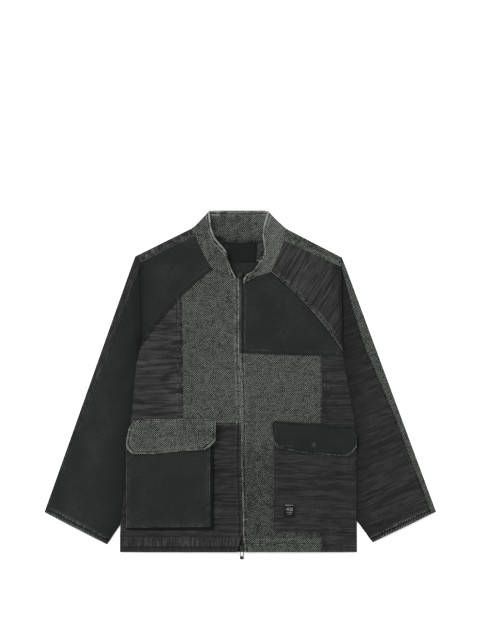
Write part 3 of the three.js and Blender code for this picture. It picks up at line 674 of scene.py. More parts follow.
def front_panel(name, kind, sides, seams=(), rims=(), rows_turn=0.0, cell=2.6, shade=None):
    """One front panel from its four side lines. Each seam is (line, width, pale), a felled seam along that
    line, and each rim is (line, width, pale, dark). Crinkles run across the panel, turned by `rows_turn`
    degrees. `shade` gives the wear at a point that isn't by a seam, and the painted shade by the armholes."""
    material, thickness = cloths[kind]
    plan = patch(*sides, cell)
    x, y = plan[..., 0], plan[..., 1]
    across, along_rows = turned(x, y, rows_turn)
    height, wear_and_shade = np.zeros(x.shape), 0.06 * noise(x, y, 34, 8)
    for k, (line, *widths) in enumerate([*seams, *rims]):
        gap, place = near(x, y, line)
        edge = felled if k < len(seams) else rim
        rise, rub = edge(gap, place, widths[0], 31 + 7 * k + len(name), *widths[1:])
        height, wear_and_shade = height + rise, wear_and_shade + rub
    if kind == "crinkled":
        rows = crinkle(across, along_rows, 100 + len(name))
        height, wear_and_shade = height + 0.3 * rows, wear_and_shade + 0.42 * rows
    if shade:
        wear_and_shade = wear_and_shade + shade(x, y)
    middle = flat_piece(plan, front_under(x, y) + thickness / 2)
    uv = np.stack([along_rows, across], -1)
    made, tops[name], _ = shell(name, middle, thickness, material, height, wear_and_shade, uv=uv)
    sheet(made)


def painted_armhole_shade(x, y):
    """Painted shade on the cloth that dips to the armhole, and a dark line along its seam."""
    gap = np.minimum(near(x, y, armhole_right)[0], near(x, y, armhole_left)[0])
    return -0.3 * np.exp(-gap / 12) - 0.6 * np.exp(-((gap / 1.4) ** 2))


def across_at(y, start=-270, end=270):
    """A level line across the front at a height."""
    return np.array([[start, y], [end, y]], float)


shoulder_seam_right = np.array([armhole_right[1], [-98, 697]])
shoulder_seam_left = np.array([[97, 686], armhole_left[1]])
front_panel(
    "yoke_right",
    "plain",
    (raglan_right, neck_front_right[2:6], shoulder_seam_right, armhole_right),
    seams=[(raglan_right, 8, 0.2), (armhole_right, 8, 0.15)],
    shade=painted_armhole_shade,
)
front_panel(
    "chest_right",
    "sashiko",
    (
        [chest_edge[0], zip_at_chest],
        stretch(zip_right, 1, 280, zip_top),
        np.vstack([stretch(raglan_right, 0, -127, -59), neck_front_right[1::-1], [zip_right[-1]]]),
        chest_edge,
    ),
    seams=[(across_at(280, -124, 6), 5, 0.5)],
    rims=[(zip_right, 9, 1.2, 0.6)],
)
front_panel(
    "side_right",
    "crinkled",
    (
        [side_at_chest, chest_edge[0]],
        chest_edge,
        stretch(raglan_right, 0, -217, -127),
        stretch(side_right, 1, 280, 456),
    ),
    seams=[(chest_edge, 14, 0.35), (raglan_right, 3, 0.15)],
    cell=2.0,
    shade=lambda x, y: 0.16 + 0 * x,
)
front_panel(
    "lower_right",
    "crinkled",
    (
        band_seam,
        stretch(zip_right, 1, 37, 280),
        [side_at_chest, zip_at_chest],
        stretch(side_right, 1, 37, 280),
    ),
    rims=[(zip_right, 11, 0.4, 0.7)],
    cell=2.0,
)


def hem_band_shade(x, y):
    """The streaks are worn between the seam and the stitch row at 15 mm, and the doubled hem below it stays
    dark."""
    return 0.05 * smooth((y - 15) / 4) * smooth((36 - y) / 3) - 0.08 * smooth((15 - y) / 3)


front_panel(
    "hem_band_right",
    "striped",
    ([side_right[0], zip_right[0]], stretch(zip_right, 1, 0, 37), band_seam, stretch(side_right, 1, 0, 37)),
    seams=[(across_at(37), 3, 0.4)],
    rims=[(across_at(0), 17, 0.15, 0.7)],
    cell=2.0,
    shade=hem_band_shade,
)
front_panel(
    "yoke_left",
    "crinkled",
    (raglan_left, armhole_left, shoulder_seam_left, neck_front_left[2:5]),
    seams=[(raglan_left, 9, 1.0), (armhole_left, 8, 0.0)],
    rows_turn=60,
    cell=2.0,
    shade=lambda x, y: 0.1 + painted_armhole_shade(x, y),
)
front_panel(
    "chest_left",
    "plain",
    (
        chest_foot,
        [[228.4, 429], [227, 439]],
        np.vstack([zip_left[-1], neck_front_left[:2], raglan_left]),
        stretch(zip_left, 1, 437, zip_top),
    ),
    seams=[(chest_foot, 9, 0.3), (raglan_left, 3, 0.2)],
    rims=[(zip_left, 11, 0.5, 0.9)],
)
front_panel(
    "mid_left",
    "sashiko",
    ([zip_left[0], mid_edge[0]], mid_edge, chest_foot[:3], stretch(zip_left, 1, 0, 437)),
    seams=[(mid_edge, 3, 0.3)],
    rims=[(zip_left, 9, 0.9, 0.8), (across_at(0), 30, 0.4, 0.4)],
    shade=lambda x, y: -0.22 * smooth((260 - y) / 60) + 0.15 * smooth((34 - y) / 8),
)
front_panel(
    "side_left",
    "crinkled",
    ([mid_edge[0], side_left[0]], stretch(side_left, 1, 0, 429), chest_foot[2:], mid_edge),
    seams=[(mid_edge, 11, 0.35)],
    rims=[(across_at(0), 30, 0.3, 0.4)],
    cell=2.0,
)

# ---- Shoulder strips ----
# A narrow strip folded over each shoulder, streaked cloth on the right and sashiko on the left. It closes
# the seam between front and back, with its fold along the top of the shoulder.
fold_radius = 1.1
shoulder_right, shoulder_left = np.array([-231.0, 650]), np.array([224.7, 647.5])


def round_fold(tip, inward, radius, low, thickness, count=7):
    """Points round a pressed fold from its upper to its lower layer: a half circle of the fold's radius
    through the middle of the cloth, whose outer face touches `tip`. Returns an array of count points for
    each row of tips."""
    angle = np.linspace(math.pi / 2, -math.pi / 2, count)[None, :]
    depth = thickness / 2 + radius * (1 - np.cos(angle))
    height = low + radius * (1 + np.sin(angle))
    plan = tip[:, None, :] + inward[:, None, :] * depth[..., None]
    return np.dstack([plan, np.broadcast_to(height, plan.shape[:2])])


def shoulder_strip(name, kind, ridge, front, back):
    """A strip over the shoulder: rows along the ridge, each from the front seam over the fold to the back
    seam."""
    material, _ = cloths[kind]
    rows = shares(np.linalg.norm(np.subtract(*ridge)), 2.2)
    tip, ahead, behind = (along(line, rows) for line in (ridge, front, back))
    inward = (ahead + behind) / 2 - tip
    inward /= np.linalg.norm(inward, axis=1, keepdims=True)
    fold = round_fold(tip, inward, fold_radius, cloth / 2, cloth)
    start, end = fold[:, 0], fold[:, -1]
    seam = np.dstack([ahead[:, None], np.full((len(rows), 1), front_edge + cloth / 2 + 0.2)])[:, 0]
    foot = np.dstack([behind[:, None], np.full((len(rows), 1), cloth / 2)])[:, 0]
    parts = shares(13, 1.6)[None, :, None]
    upper = seam[:, None] * (1 - parts) + start[:, None] * parts
    upper[..., 2] += 0.9 * np.sin(np.pi * parts[..., 0])
    lower = end[:, None] * (1 - parts) + foot[:, None] * parts
    middle = np.concatenate([upper, fold[:, 1:-1], lower], axis=1)
    reach = gone_along(middle, 1)
    place = np.broadcast_to((rows * 133)[:, None], reach.shape)
    height, wear_and_shade = rim(reach, place, 6, 61, 0.7, 0.6)
    shoulder_end = [ridge[-1], front[-1]] if "right" in name else [ridge[0], front[0]]
    from_sleeve = near(middle[..., 0], middle[..., 1], shoulder_end)[0]
    wear = 0.12 if kind == "striped" else -0.12
    wear_and_shade = wear_and_shade + 0.32 * noise(place, reach, 3.4, 62, 1.6) + wear * smooth((reach - 7) / 3)
    # Painted shade on the strip's rounded end by the sleeve, where that edge would catch the light.
    wear_and_shade = wear_and_shade - 0.9 * np.exp(-((from_sleeve / 1.6) ** 2))
    made, tops[name], _ = shell(name, middle, cloth, material, 0.7 * height, wear_and_shade, uv=middle[..., :2])
    sheet(made)


shoulder_strip(
    "shoulder_strip_right",
    "striped",
    [neck_right - [0.2, 0], shoulder_right],
    [[-98, 696.8], armhole_right[1] - [0, 0.2]],
    [[-92, 696.8], armhole_right[1] - [0, 0.2]],
)
shoulder_strip(
    "shoulder_strip_left",
    "sashiko",
    [shoulder_left, neck_left + [0.2, 0]],
    [armhole_left[1] - [0, 0.2], [97, 685.8]],
    [armhole_left[1] - [0, 0.2], [89, 694.8]],
)

# ---- Sleeves ----
# Each sleeve is one piece of cloth turned round its underarm fold and closed along the outer fold by the
# overarm strip: plain denim and streaked cloth on the right, crinkled denim and sashiko on the left. The
# tube lies flat, a little full, its underarm fold tucked under the body.
overarm_width = 30.0
tube_radius = 0.95


def lean(line, inward):
    """The sine of the angle between a line and the rows that cross it, at each of the line's points."""
    ahead = np.gradient(line, axis=0)
    ahead /= np.linalg.norm(ahead, axis=1, keepdims=True)
    return np.abs(ahead[:, 0] * inward[:, 1] - ahead[:, 1] * inward[:, 0])


def sleeve(side, shoulder, armhole, cuff, inner, shown, kinds, turn, creases):
    """A flattened tube from the armhole to the cuff. Rows run from the outer fold to the underarm fold, and
    the first ones bend to run down the armhole. The upper layer swells between the folds by the sine of its
    share of the width, with slanting drag folds from the underarm and the main creases on both layers.
    `shown` gives shares of the length and the width of the overarm strip that shows there."""
    out = 1 if side == "left" else -1
    rows = shares(np.linalg.norm(np.subtract(cuff, shoulder)), 2.2)
    sewn_in = np.exp(-rows / 0.01)[:, None] * [-out * 0.9, 0]
    tip_out, tip_in = along([shoulder, cuff], rows) + sewn_in, along(inner, rows) + sewn_in
    tip_in[:, 0] -= out * (tuck + 0.5) * tucked(tip_in[:, 1])
    span = tip_in - tip_out
    width = np.linalg.norm(span, axis=1)
    inward = span / width[:, None]
    lean_out, lean_in = lean(tip_out, inward), lean(tip_in, inward)
    front = np.interp(rows, *shown) / lean_out
    back = (overarm_width - np.interp(rows, *shown)) / lean_out
    edge = cloth / 2 + tube_radius
    out_edge, in_edge = edge / lean_out, width - edge / lean_in
    cuff_line = np.array([cuff, inner[-1]], float)
    to_armhole = np.asarray(armhole) + sewn_in[0] - tip_out[0] - inward[0] * front[0]
    bend = to_armhole * np.exp(-rows / 0.05)[:, None]

    def upper(plan, share):
        """Height of the middle of the upper layer at plan points, by their shares of the width."""
        x, y = plan[..., 0], plan[..., 1]
        inside = np.sin(np.pi * np.clip(share, 0, 1))
        ends = smooth(rows / 0.12) * (1 - 0.4 * smooth((rows - 0.8) / 0.2))
        rest = 1.0 * noise(x, y, 62, 21 + out) + 0.5 * noise(x, y, 27, 23)
        slant = x * out * 0.45 + y * 0.9
        drag = 1.5 * noise(slant, x * out * 0.9 - y * 0.45, 17, 25 + out, 5)
        near_underarm = np.exp(-(((rows - 0.25) / 0.2) ** 2))[:, None] * smooth(share / 0.3)
        folds = creased(x, y, creases) * smooth(3 * inside)
        full = (5.0 * inside**0.8 + rest * inside) * ends[:, None] + drag * near_underarm * inside + folds
        return cloth / 2 + 2 * tube_radius + full

    def layer(start, end, parts, is_upper):
        """Points of one layer between two distances in from the outer fold."""
        q = start[:, None] + (end - start)[:, None] * parts[None, :]
        before = q / front[:, None]
        after = (width[:, None] - q) / (width - front)[:, None]
        bent = bend[:, None] * np.minimum(before, after)[..., None]
        plan = tip_out[:, None] + inward[:, None] * q[..., None] + bent
        if is_upper:
            height = upper(plan, q / width[:, None])
        else:
            inside = np.sin(np.pi * np.clip(q / width[:, None], 0, 1))
            below = creased(plan[..., 0], plan[..., 1], creases) * inside
            height = cloth / 2 + np.maximum(0, 0.8 * below)
        return np.dstack([plan, height])

    outer_fold = round_fold(tip_out, inward / lean_out[:, None], tube_radius, cloth / 2, cloth)
    from_tip = np.linalg.norm(outer_fold[..., :2] - tip_out[:, None], axis=2)
    outer_fold[..., :2] += bend[:, None] * (from_tip / front[:, None])[..., None]
    inner_fold = round_fold(tip_in, -inward / lean_in[:, None], tube_radius, cloth / 2, cloth)
    fine, wide = shares(20, 1.4), shares(150, 2.3)
    strip = [layer(front, out_edge, fine[:-1], True), outer_fold, layer(out_edge, back, fine[1:], False)]
    strip = np.concatenate(strip, axis=1)
    main = [layer(front + 0.3, in_edge, wide[:-2], True), inner_fold]
    main.append(layer(in_edge, back + 0.3, shares(120, 9)[1:], False))
    main = np.concatenate(main, axis=1)

    def dressed(grid, kind, name, seam_width, pale, wear, puckers):
        """The cloth on a grid: its seam by the strip, its cuff, its crinkles, its wear, and painted shade by
        the underarm fold and the armhole. The right sleeve's rows are turned round, so that its outer face is
        outside."""
        x, y = grid[..., 0], grid[..., 1]
        from_seam = gone_along(grid, 1) * lean_out[:, None]
        from_cuff, place = near(x, y, cuff_line)
        relief, wear_and_shade = rim(from_cuff, place, 15, 41, 0.7, 0.8)
        hem = np.exp(-(((from_cuff - 6) / 6) ** 4))
        roping = np.sin((place + 0.7 * from_cuff) * 2 * np.pi / 6.4 + 2.2 * noise(place, from_cuff, 19, 46))
        relief, wear_and_shade = relief + 0.25 * hem * roping, wear_and_shade + hem * (0.8 * roping + 0.1)
        seam_relief, seam_fade = rim(from_seam, rows[:, None] * 600, seam_width, 43, pale, 0.5)
        relief, wear_and_shade = relief + seam_relief, wear_and_shade + seam_fade
        underarm = near(x, y, tip_in)[0]
        from_armhole = near(x, y, [shoulder, armhole, inner[0]])[0]
        ripples = noise(rows[:, None] * 600, from_seam, 3.6, 47, 1.6)
        body = wear * smooth((from_seam - 6) / 3) + puckers * ripples
        # Painted shade where the sleeve dips under the body along its underarm fold and near the armhole, and
        # a narrow painted shade along the armhole and shoulder tip, where the rounded edge would catch the
        # light.
        wear_and_shade = wear_and_shade + body - 0.55 * np.exp(-underarm / 18) - 0.4 * np.exp(-from_armhole / 20)
        wear_and_shade = wear_and_shade + 0.06 * noise(x, y, 44, 45, 1.6) - 0.7 * np.exp(-((from_armhole / 1.6) ** 2))
        across, along_rows = turned(x, y, turn)
        if kind == "crinkled":
            ridges = crinkle(across, along_rows, 141)
            relief, wear_and_shade = relief + 0.3 * ridges, wear_and_shade + 0.3 * ridges
        uv = np.stack([along_rows, across], -1)
        material, _ = cloths[kind]
        made, outer, _ = shell(name, grid[::out], cloth, material, relief[::out], wear_and_shade[::out], uv=uv[::out])
        tops[name] = outer[::out]
        return made

    tube = dressed(main, kinds[0], f"sleeve_{side}", 5, 0.45, 0.02, 0.0)
    sheet(tube)
    strip_wear = 0.0 if kinds[1] == "striped" else -0.26
    over = dressed(strip, kinds[1], f"overarm_strip_{side}", 6, 0.75, strip_wear, 0.6)
    sheet(over)


sleeve(
    "right",
    shoulder_right - [0.1, 0.1],
    armhole_right[1],
    (-430, 88),
    np.vstack([stretch(side_right, 1, 455.9, 60) - [0.2, 0], [[-292.3, 17]]]),
    ([0, 0.33, 0.5, 0.68, 1], [15.5, 15.5, 9, 3.4, 2.6]),
    ("plain", "striped"),
    -22,
    [
        ([(-226, 440), (-262, 404), (-300, 338)], 11, 1.9),
        ([(-224, 470), (-256, 452), (-296, 412)], 11, 1.4),
        ([(-234, 398), (-262, 350), (-284, 286)], 10, -1.3),
        ([(-236, 560), (-262, 512), (-270, 440)], 14, 1.1),
        ([(-250, 330), (-304, 296), (-352, 300)], 11, 1.4),
        ([(-254, 290), (-312, 262), (-362, 270)], 11, -1.2),
        ([(-262, 250), (-318, 226), (-374, 226)], 12, 1.2),
        ([(-280, 180), (-336, 160), (-392, 168)], 12, -0.9),
        ([(-296, 110), (-348, 100), (-404, 116)], 13, 1.1),
    ],
)
sleeve(
    "left",
    shoulder_left + [0.1, -0.1],
    armhole_left[1],
    (431, 89),
    np.vstack([stretch(side_left, 1, 438.9, 68) + [0.2, 0], [[291.5, 21.5]]]),
    ([0, 0.1, 0.2, 0.3, 0.45, 0.6, 1], [7, 14.5, 19.5, 21, 16.5, 12.5, 10]),
    ("crinkled", "sashiko"),
    22,
    [
        ([(232, 432), (266, 396), (300, 330)], 11, 1.8),
        ([(228, 466), (262, 446), (298, 402)], 11, 1.3),
        ([(240, 390), (268, 344), (286, 280)], 10, -1.3),
        ([(236, 556), (264, 506), (272, 436)], 14, 1.1),
        ([(252, 318), (308, 290), (356, 296)], 11, 1.4),
        ([(258, 276), (316, 250), (368, 260)], 11, -1.2),
        ([(264, 232), (322, 212), (380, 218)], 12, 1.2),
        ([(282, 168), (340, 150), (396, 160)], 12, -0.9),
        ([(298, 100), (352, 94), (408, 112)], 13, 1.0),
    ],
)

# ---- Collar ----
# A stand collar of sashiko cloth, one band about 65 mm high. Its back lies flat, shows its inside and is
# felled over the facing. It folds at both sides of the neck, and its halves stand over the neck to a rubbed
# edge, the left one lapped on the front at the zip.
collar_centre = np.array([0.0, 680])
front_bulge = 0.6  # the front edges curve outwards by this between the zip and their top corners
top_right = [[-30, 645], [-29.5, 654], [-31, 662], [-37, 670], [-46, 680], [-56, 692], [-63.5, 713]]
top_right += [[-67, 752]]
top_left = [[50, 645], [56, 654], [57, 664], [53, 681], [50, 697], [51, 713], [56, 733], [61, 751]]


def pulled_in(points, gap=0.1):
    """Points moved towards the middle of the neck by a gap."""
    to_centre = collar_centre - points
    return points + to_centre * gap / np.linalg.norm(to_centre, axis=-1, keepdims=True)


def collar_half(seam, top, share, sag, lap):
    """One half of the front of the collar for each share of its height: straight lines from the neck seam
    to the top edge, whose height is 12 mm of a half sine over a slope from 14 mm at the front edge to the
    fold at the side. The fold sags towards the neck by a half sine. The corner by the zip is lapped down
    over the front."""
    seam = np.vstack([seam[0] - [0, lap], seam[1:]])
    inward = pulled_in((seam[-1] + top[-1])[None] / 2, 1.0)[0] - (seam[-1] + top[-1]) / 2
    radius = 1.25 + 1.35 * share
    sagged = inward * sag * np.sin(np.pi * share)[:, None]
    tip = pulled_in(seam[-1] + (top[-1] - seam[-1]) * share[:, None]) + sagged
    fold = []
    for angle in np.linspace(math.pi / 2, -math.pi / 2, 9):
        depth = sashiko / 2 + radius * (1 - math.cos(angle))
        fold.append(np.c_[tip + inward * depth[:, None], sashiko / 2 + radius * (1 + math.sin(angle))])
    fold = np.stack(fold, axis=1)
    steps = shares(150, 2.6)[:-3]
    low, high = pulled_in(along(seam, steps)), along(top, steps)
    seam_height = front_under(low[:, 0], low[:, 1]) + sashiko / 2 + 0.17 * lap * (1 - smooth(steps / 0.35))
    top_height = 14 * (1 - steps) + (sashiko / 2 + 2 * radius[-1]) * steps + 12 * np.sin(np.pi * steps)
    mix = share[:, None]
    plan = low[None] * (1 - mix[..., None]) + high[None] * mix[..., None]
    edge_ahead = (top[0] - seam[0]) / np.linalg.norm(top[0] - seam[0])
    bulge = np.array([edge_ahead[1], -edge_ahead[0]]) * np.sign(seam[0, 0])
    out = front_bulge * np.sin(np.pi * mix) - 0.6 * lap * np.sin(np.pi * np.clip(mix / 0.42, 0, 1))
    plan = plan + (out * np.exp(-steps / 0.2)[None])[..., None] * bulge
    curl = 1.6 * np.sin(np.pi * mix) * (1 - steps)[None]
    height = seam_height[None] * (1 - mix) + top_height[None] * mix + curl
    return np.concatenate([np.dstack([plan, height]), fold], axis=1)


collar_share = shares(66, 2.4)
right_half = collar_half(neck_front_right, np.array(top_right), collar_share, sag=4.0, lap=0.0)
left_half = collar_half(neck_front_left, np.array(top_left, float), collar_share, sag=1.2, lap=12.0)
back_steps = np.linspace(0, 1, 76)
back_low = along(neck_back, back_steps) * [0.996, 1] - [0, 0.5]
back_low[:, 1] -= 12 * smooth((52 - np.abs(back_low[:, 0] - 6)) / 14)  # it is felled down over the facing
back_high = along([[-62, 751.5], [56, 751.5]], back_steps)
up_share = collar_share[:, None, None]
back_part = back_low[None] * (1 - up_share) + back_high[None] * up_share
over_facing = smooth((66 - np.abs(back_part[..., 0] - 6)) / 12) * smooth((702 - back_part[..., 1]) / 8)
back_part = flat_piece(back_part, sashiko / 2 + 3.1 * over_facing)
collar_middle = np.concatenate([right_half, back_part, left_half[:, ::-1]], axis=1)
collar_along, collar_up = gone_along(collar_middle, 1), gone_along(collar_middle)
collar_x, collar_y = collar_middle[..., 0], collar_middle[..., 1]
from_top = collar_up[-1:] - collar_up
from_front = np.minimum(collar_along, collar_along[:, -1:] - collar_along)
from_edge = np.maximum(np.minimum(from_top, from_front) - 2.6, 0)
top_relief, top_fade = rim(from_edge, collar_along + collar_up, 8, 51, 2.2, 1.1)
seam_relief, seam_fade = rim(collar_up, collar_along, 6, 53, 0.25, 0.3)
collar_wear_and_shade = top_fade + seam_fade + 0.15 * noise(collar_along, collar_up, 16, 55)
in_back = np.zeros(collar_middle.shape[:2])
in_back[:, right_half.shape[1] : -left_half.shape[1]] = 1
at_back = np.exp(-((collar_x / 50) ** 6)) * np.maximum(in_back, smooth((collar_y - 692) / 8))
# Painted shade on the back of the collar, darker towards its neck seam under the raised front halves; most of
# its rubbed rim is taken away there too.
collar_wear_and_shade = collar_wear_and_shade - at_back * (0.6 * top_fade + 0.5 * np.exp(-collar_up / 15) - 0.04)
collar_wear_and_shade = collar_wear_and_shade + 0.34 * (1 - at_back) * smooth((collar_x - 16) / 16)
# Painted shadow at the collar's end by the zip, where the raised collar shades the front.
corner_painted_shadow = 0.4 * np.exp(-((np.hypot(collar_x - 30, collar_y - 610) / 22) ** 2))
end_painted_shadow = 1.3 * np.exp(-((np.hypot(collar_x - 7, collar_y - 592) / 10) ** 2))
collar_wear_and_shade = collar_wear_and_shade - (corner_painted_shadow + end_painted_shadow) * (1 - in_back)
collar, collar_in, collar_out = shell(
    "collar",
    collar_middle,
    sashiko,
    sashiko_cloth,
    top_relief + seam_relief,
    collar_wear_and_shade,
    uv=collar_middle[..., :2],
    both=True,
)
sheet(collar)

# ---- Right pocket ----
# A large patch pocket of plain denim that stands off the front on a gusset, a strip of the same cloth
# folded outwards round its sides and foot. A sashiko flap sewn above its mouth lies over it, its lower
# corners cut off.
bellows_lift = cloth + 4.0 + 0.4


def on_front(x, y):
    """Height just over the fronts, where a pocket or a flap lies: their underside and the thickest
    cloth."""
    return front_under(x, y) + sashiko + 0.5


def gusset_line(depth):
    """The gusset's line at a depth in from its outer fold: three legs, each an even mix of its two
    corners."""
    left, right, foot, mouth = -251.5 + depth, -59.0 - depth, 51.5 + depth, 276.0
    corners = [(left + 14, mouth), (left, mouth - 36), (left, foot), (right, foot), (right, mouth)]
    legs = [np.linspace(p, q, 48, endpoint=False) for p, q in zip(corners[:-1], corners[1:])]
    return np.vstack([*legs, corners[-1]])


gusset_fold = 2.0
gusset_rows = []
for depth in (16, 12, 8, 5):
    gusset_rows.append((gusset_line(depth), 2 * gusset_fold))
for angle in np.linspace(math.pi / 2, -math.pi / 2, 9):
    gusset_rows.append((gusset_line(0.8 + 2 * (1 - math.cos(angle))), gusset_fold * (1 + math.sin(angle))))
for depth in (5, 8, 12, 18):
    gusset_rows.append((gusset_line(depth), 0.0))
gusset_middle = np.stack(
    [np.c_[line, on_front(line[:, 0], line[:, 1]) + cloth / 2 + rise] for line, rise in gusset_rows], axis=1
)
gusset_middle[..., 2] += 0.35 * noise(gusset_middle[..., 0], gusset_middle[..., 1], 14, 71)
# The gusset is painted dark all over: a painted shadow under the raised edges of the pocket.
gusset, _, _ = shell("pocket_gusset_right", gusset_middle[:, ::-1], cloth, plain_denim, wear_and_shade=-0.8, both=True)
sheet(gusset)


pocket_left_edge = [[-250, 55], [-250, 240], [-236, 279]]
pocket_sides = ([[-250, 55], [-65, 57]], [[-65, 57], [-65, 279]], [[-236, 279], [-65, 279]], pocket_left_edge)
pocket_plan = patch(*pocket_sides)
pocket_x, pocket_y = pocket_plan[..., 0], pocket_plan[..., 1]
pocket_rim = [*pocket_left_edge[::-1], [-65, 57], [-65, 279]]
pocket_in = near(pocket_x, pocket_y, pocket_rim)[0]
pocket_creases = [
    ([(-240, 214), (-206, 160), (-196, 84)], 15, 1.3),
    ([(-222, 212), (-186, 150), (-172, 76)], 13, -1.0),
    ([(-78, 216), (-112, 160), (-118, 90)], 15, 1.2),
    ([(-244, 66), (-200, 96), (-150, 88)], 12, 0.9),
]
pocket_dents = 0.9 * noise(pocket_x, pocket_y, 48, 73) * smooth(pocket_in / 25)
pocket_full = 2.6 * smooth((pocket_in - 6) / 60) + pocket_dents
pocket_full = pocket_full + creased(pocket_x, pocket_y, pocket_creases)
pocket_height = on_front(pocket_x, pocket_y) + bellows_lift + cloth / 2 + pocket_full
relief, wear_and_shade = rim(*near(pocket_x, pocket_y, pocket_rim), 7, 74, 0.4, 0.3)
wear_and_shade = wear_and_shade + 0.04 * noise(pocket_x, pocket_y, 30, 75)
pocket_right, tops["pocket_right"], _ = shell(
    "pocket_right", flat_piece(pocket_plan, pocket_height), cloth, plain_denim, relief, wear_and_shade, uv=pocket_plan
)
sheet(pocket_right)


def flap(name, kind, sides, seam, lift, drop, outline, pale, wear, bumps=()):
    """A pocket flap: flat on the front along its seam, then a smooth step down the drop up on to the
    pocket. Each bump is (x, y, radius, height), a soft dome from a snap underneath, worn on its top."""
    material, thickness = cloths[kind]
    plan = patch(*sides, 2.4)
    x, y = plan[..., 0], plan[..., 1]
    inside = near(x, y, outline)[0]
    full = 0.9 * smooth((inside - 5) / 22) + 0.5 * noise(x, y, 40, 81) * smooth(inside / 15)
    height = on_front(x, y) + lift * smooth((seam(x) - y - 1) / drop) + thickness / 2 + full
    relief, wear_and_shade = rim(*near(x, y, outline), 8, 82, pale, 0.9 * pale)
    seam_relief, seam_fade = felled(np.abs(seam(x) - y), x, 5, 83, 0.5 * pale)
    relief, wear_and_shade = relief + seam_relief, wear_and_shade + seam_fade + 0.12 * noise(x, y, 24, 84) + wear
    for bump_x, bump_y, radius, rise in bumps:
        from_bump = np.hypot(x - bump_x, y - bump_y) / radius
        relief = relief + rise * (1 - smooth(from_bump))
        wear_and_shade = wear_and_shade + 0.6 * np.exp(-((from_bump / 0.6) ** 2))
    made, tops[name], _ = shell(name, flat_piece(plan, height), thickness, material, relief, wear_and_shade, uv=plan)
    sheet(made)


flap_side = [[-233, 290], [-244, 272], [-249, 246], [-249, 235]]
flap_foot = [[-235, 217], [-185, 217], [-128, 224], [-79, 225]]
flap(
    "flap_right",
    "sashiko",
    (
        [flap_side[-1], [-246, 226], *flap_foot, [-66, 233], [-54, 246]],
        [[-54, 246], [-52, 293]],
        [[-233, 290], [-202, 293], [-125, 295], [-52, 293]],
        flap_side[::-1],
    ),
    seam=lambda x: 292.0 + 0 * x,
    lift=bellows_lift + cloth + 0.4 + 3.0,
    drop=13,
    outline=[*flap_side, *flap_foot, [-54, 246], [-52, 293]],
    pale=0.9,
    wear=0.0,
)

# ---- Left pocket ----
# A flat patch pocket of crinkled denim with a plain denim flap. The flap hides a press stud, which shows as
# a worn bump, and a small black label with a plain number is sewn at the pocket's foot.


def flap_seam_left(x):
    """The seam of the left flap, which falls gently to the side."""
    return 289 - 0.086 * (x - 73)


def patch_full(x, y):
    """How far the pocket stands off the front: fuller away from its sewn rim, with soft dents 44 mm
    across."""
    inside = near(x, y, patch_rim)[0]
    return 1.3 * smooth((inside - 4) / 50) + 0.6 * noise(x, y, 44, 91) * smooth(inside / 20)


patch_rim = [[74, 278.9], [72, 47], [255, 45], [253, 263.5]]
patch_plan = patch(patch_rim[1:3], patch_rim[2:], [patch_rim[0], patch_rim[3]], patch_rim[1::-1], 2.6)
patch_x, patch_y = patch_plan[..., 0], patch_plan[..., 1]
relief, wear_and_shade = rim(*near(patch_x, patch_y, patch_rim), 7, 92, 0.4, 0.4)
rows = crinkle(patch_y, patch_x, 93)
relief, wear_and_shade = relief + 0.3 * rows, wear_and_shade + 0.32 * rows
patch_height = on_front(patch_x, patch_y) + cloth / 2 + patch_full(patch_x, patch_y)
pocket_left, tops["pocket_left"], _ = shell(
    "pocket_left", flat_piece(patch_plan, patch_height), cloth, crinkled_denim, relief, wear_and_shade, uv=patch_plan
)
sheet(pocket_left)
flap_side = [[73, 289], [70, 282], [70, 249]]
flap_foot = [[85, 229], [145, 218], [176, 216], [236, 211]]
flap(
    "flap_left",
    "plain",
    (
        [flap_side[-1], [76, 238], *flap_foot, [247, 220], [256, 232]],
        [[256, 232], [256.5, 258]],
        [[73, 289], [181, 283], [236, 275], [248, 270], [256.5, 258]],
        flap_side[::-1],
    ),
    seam=flap_seam_left,
    lift=cloth + 2.1,
    drop=9,
    outline=[*flap_side, *flap_foot, [256, 232], [256.5, 258]],
    pale=0.45,
    wear=-0.12,
    bumps=[(162, 237, 9, 1.2)],
)
label_left, label_foot, label_right, label_head = 94, 76, 122, 107
label_plan = oblong(label_left, label_foot, label_right, label_head, 2.0)
label_x, label_y = label_plan[..., 0], label_plan[..., 1]


def label_height(x, y):
    """Height of the middle of the label, which lies on the pocket."""
    return on_front(x, y) + cloth + patch_full(x, y) + 0.9


from_sides = np.minimum(label_x - label_left, label_right - label_x)
from_ends = np.minimum(label_y - label_foot, label_head - label_y)
label_fade = 0.5 * np.exp(-(np.minimum(from_sides, from_ends) ** 2))
pocket_label, _, _ = shell(
    "pocket_label", flat_piece(label_plan, label_height(label_x, label_y)), thin, label_satin, wear_and_shade=label_fade
)
sheet(pocket_label)


def thread(name, dark, pale):
    """Spun cotton thread: dull and soft, its colour worn paler in patches of about 14 mm."""
    material, tree, shader = finish(name, "sashiko_cloth", roughness=0.9, specular_ior_level=0.12)
    place = tree.nodes.new("ShaderNodeTexCoord").outputs["Object"]
    worn = add(tree, "ShaderNodeTexNoise", {"Vector": place, "Scale": 70.0})
    coloured(tree, shader, worn, [(0.3, dark), (0.7, pale)])
    return material


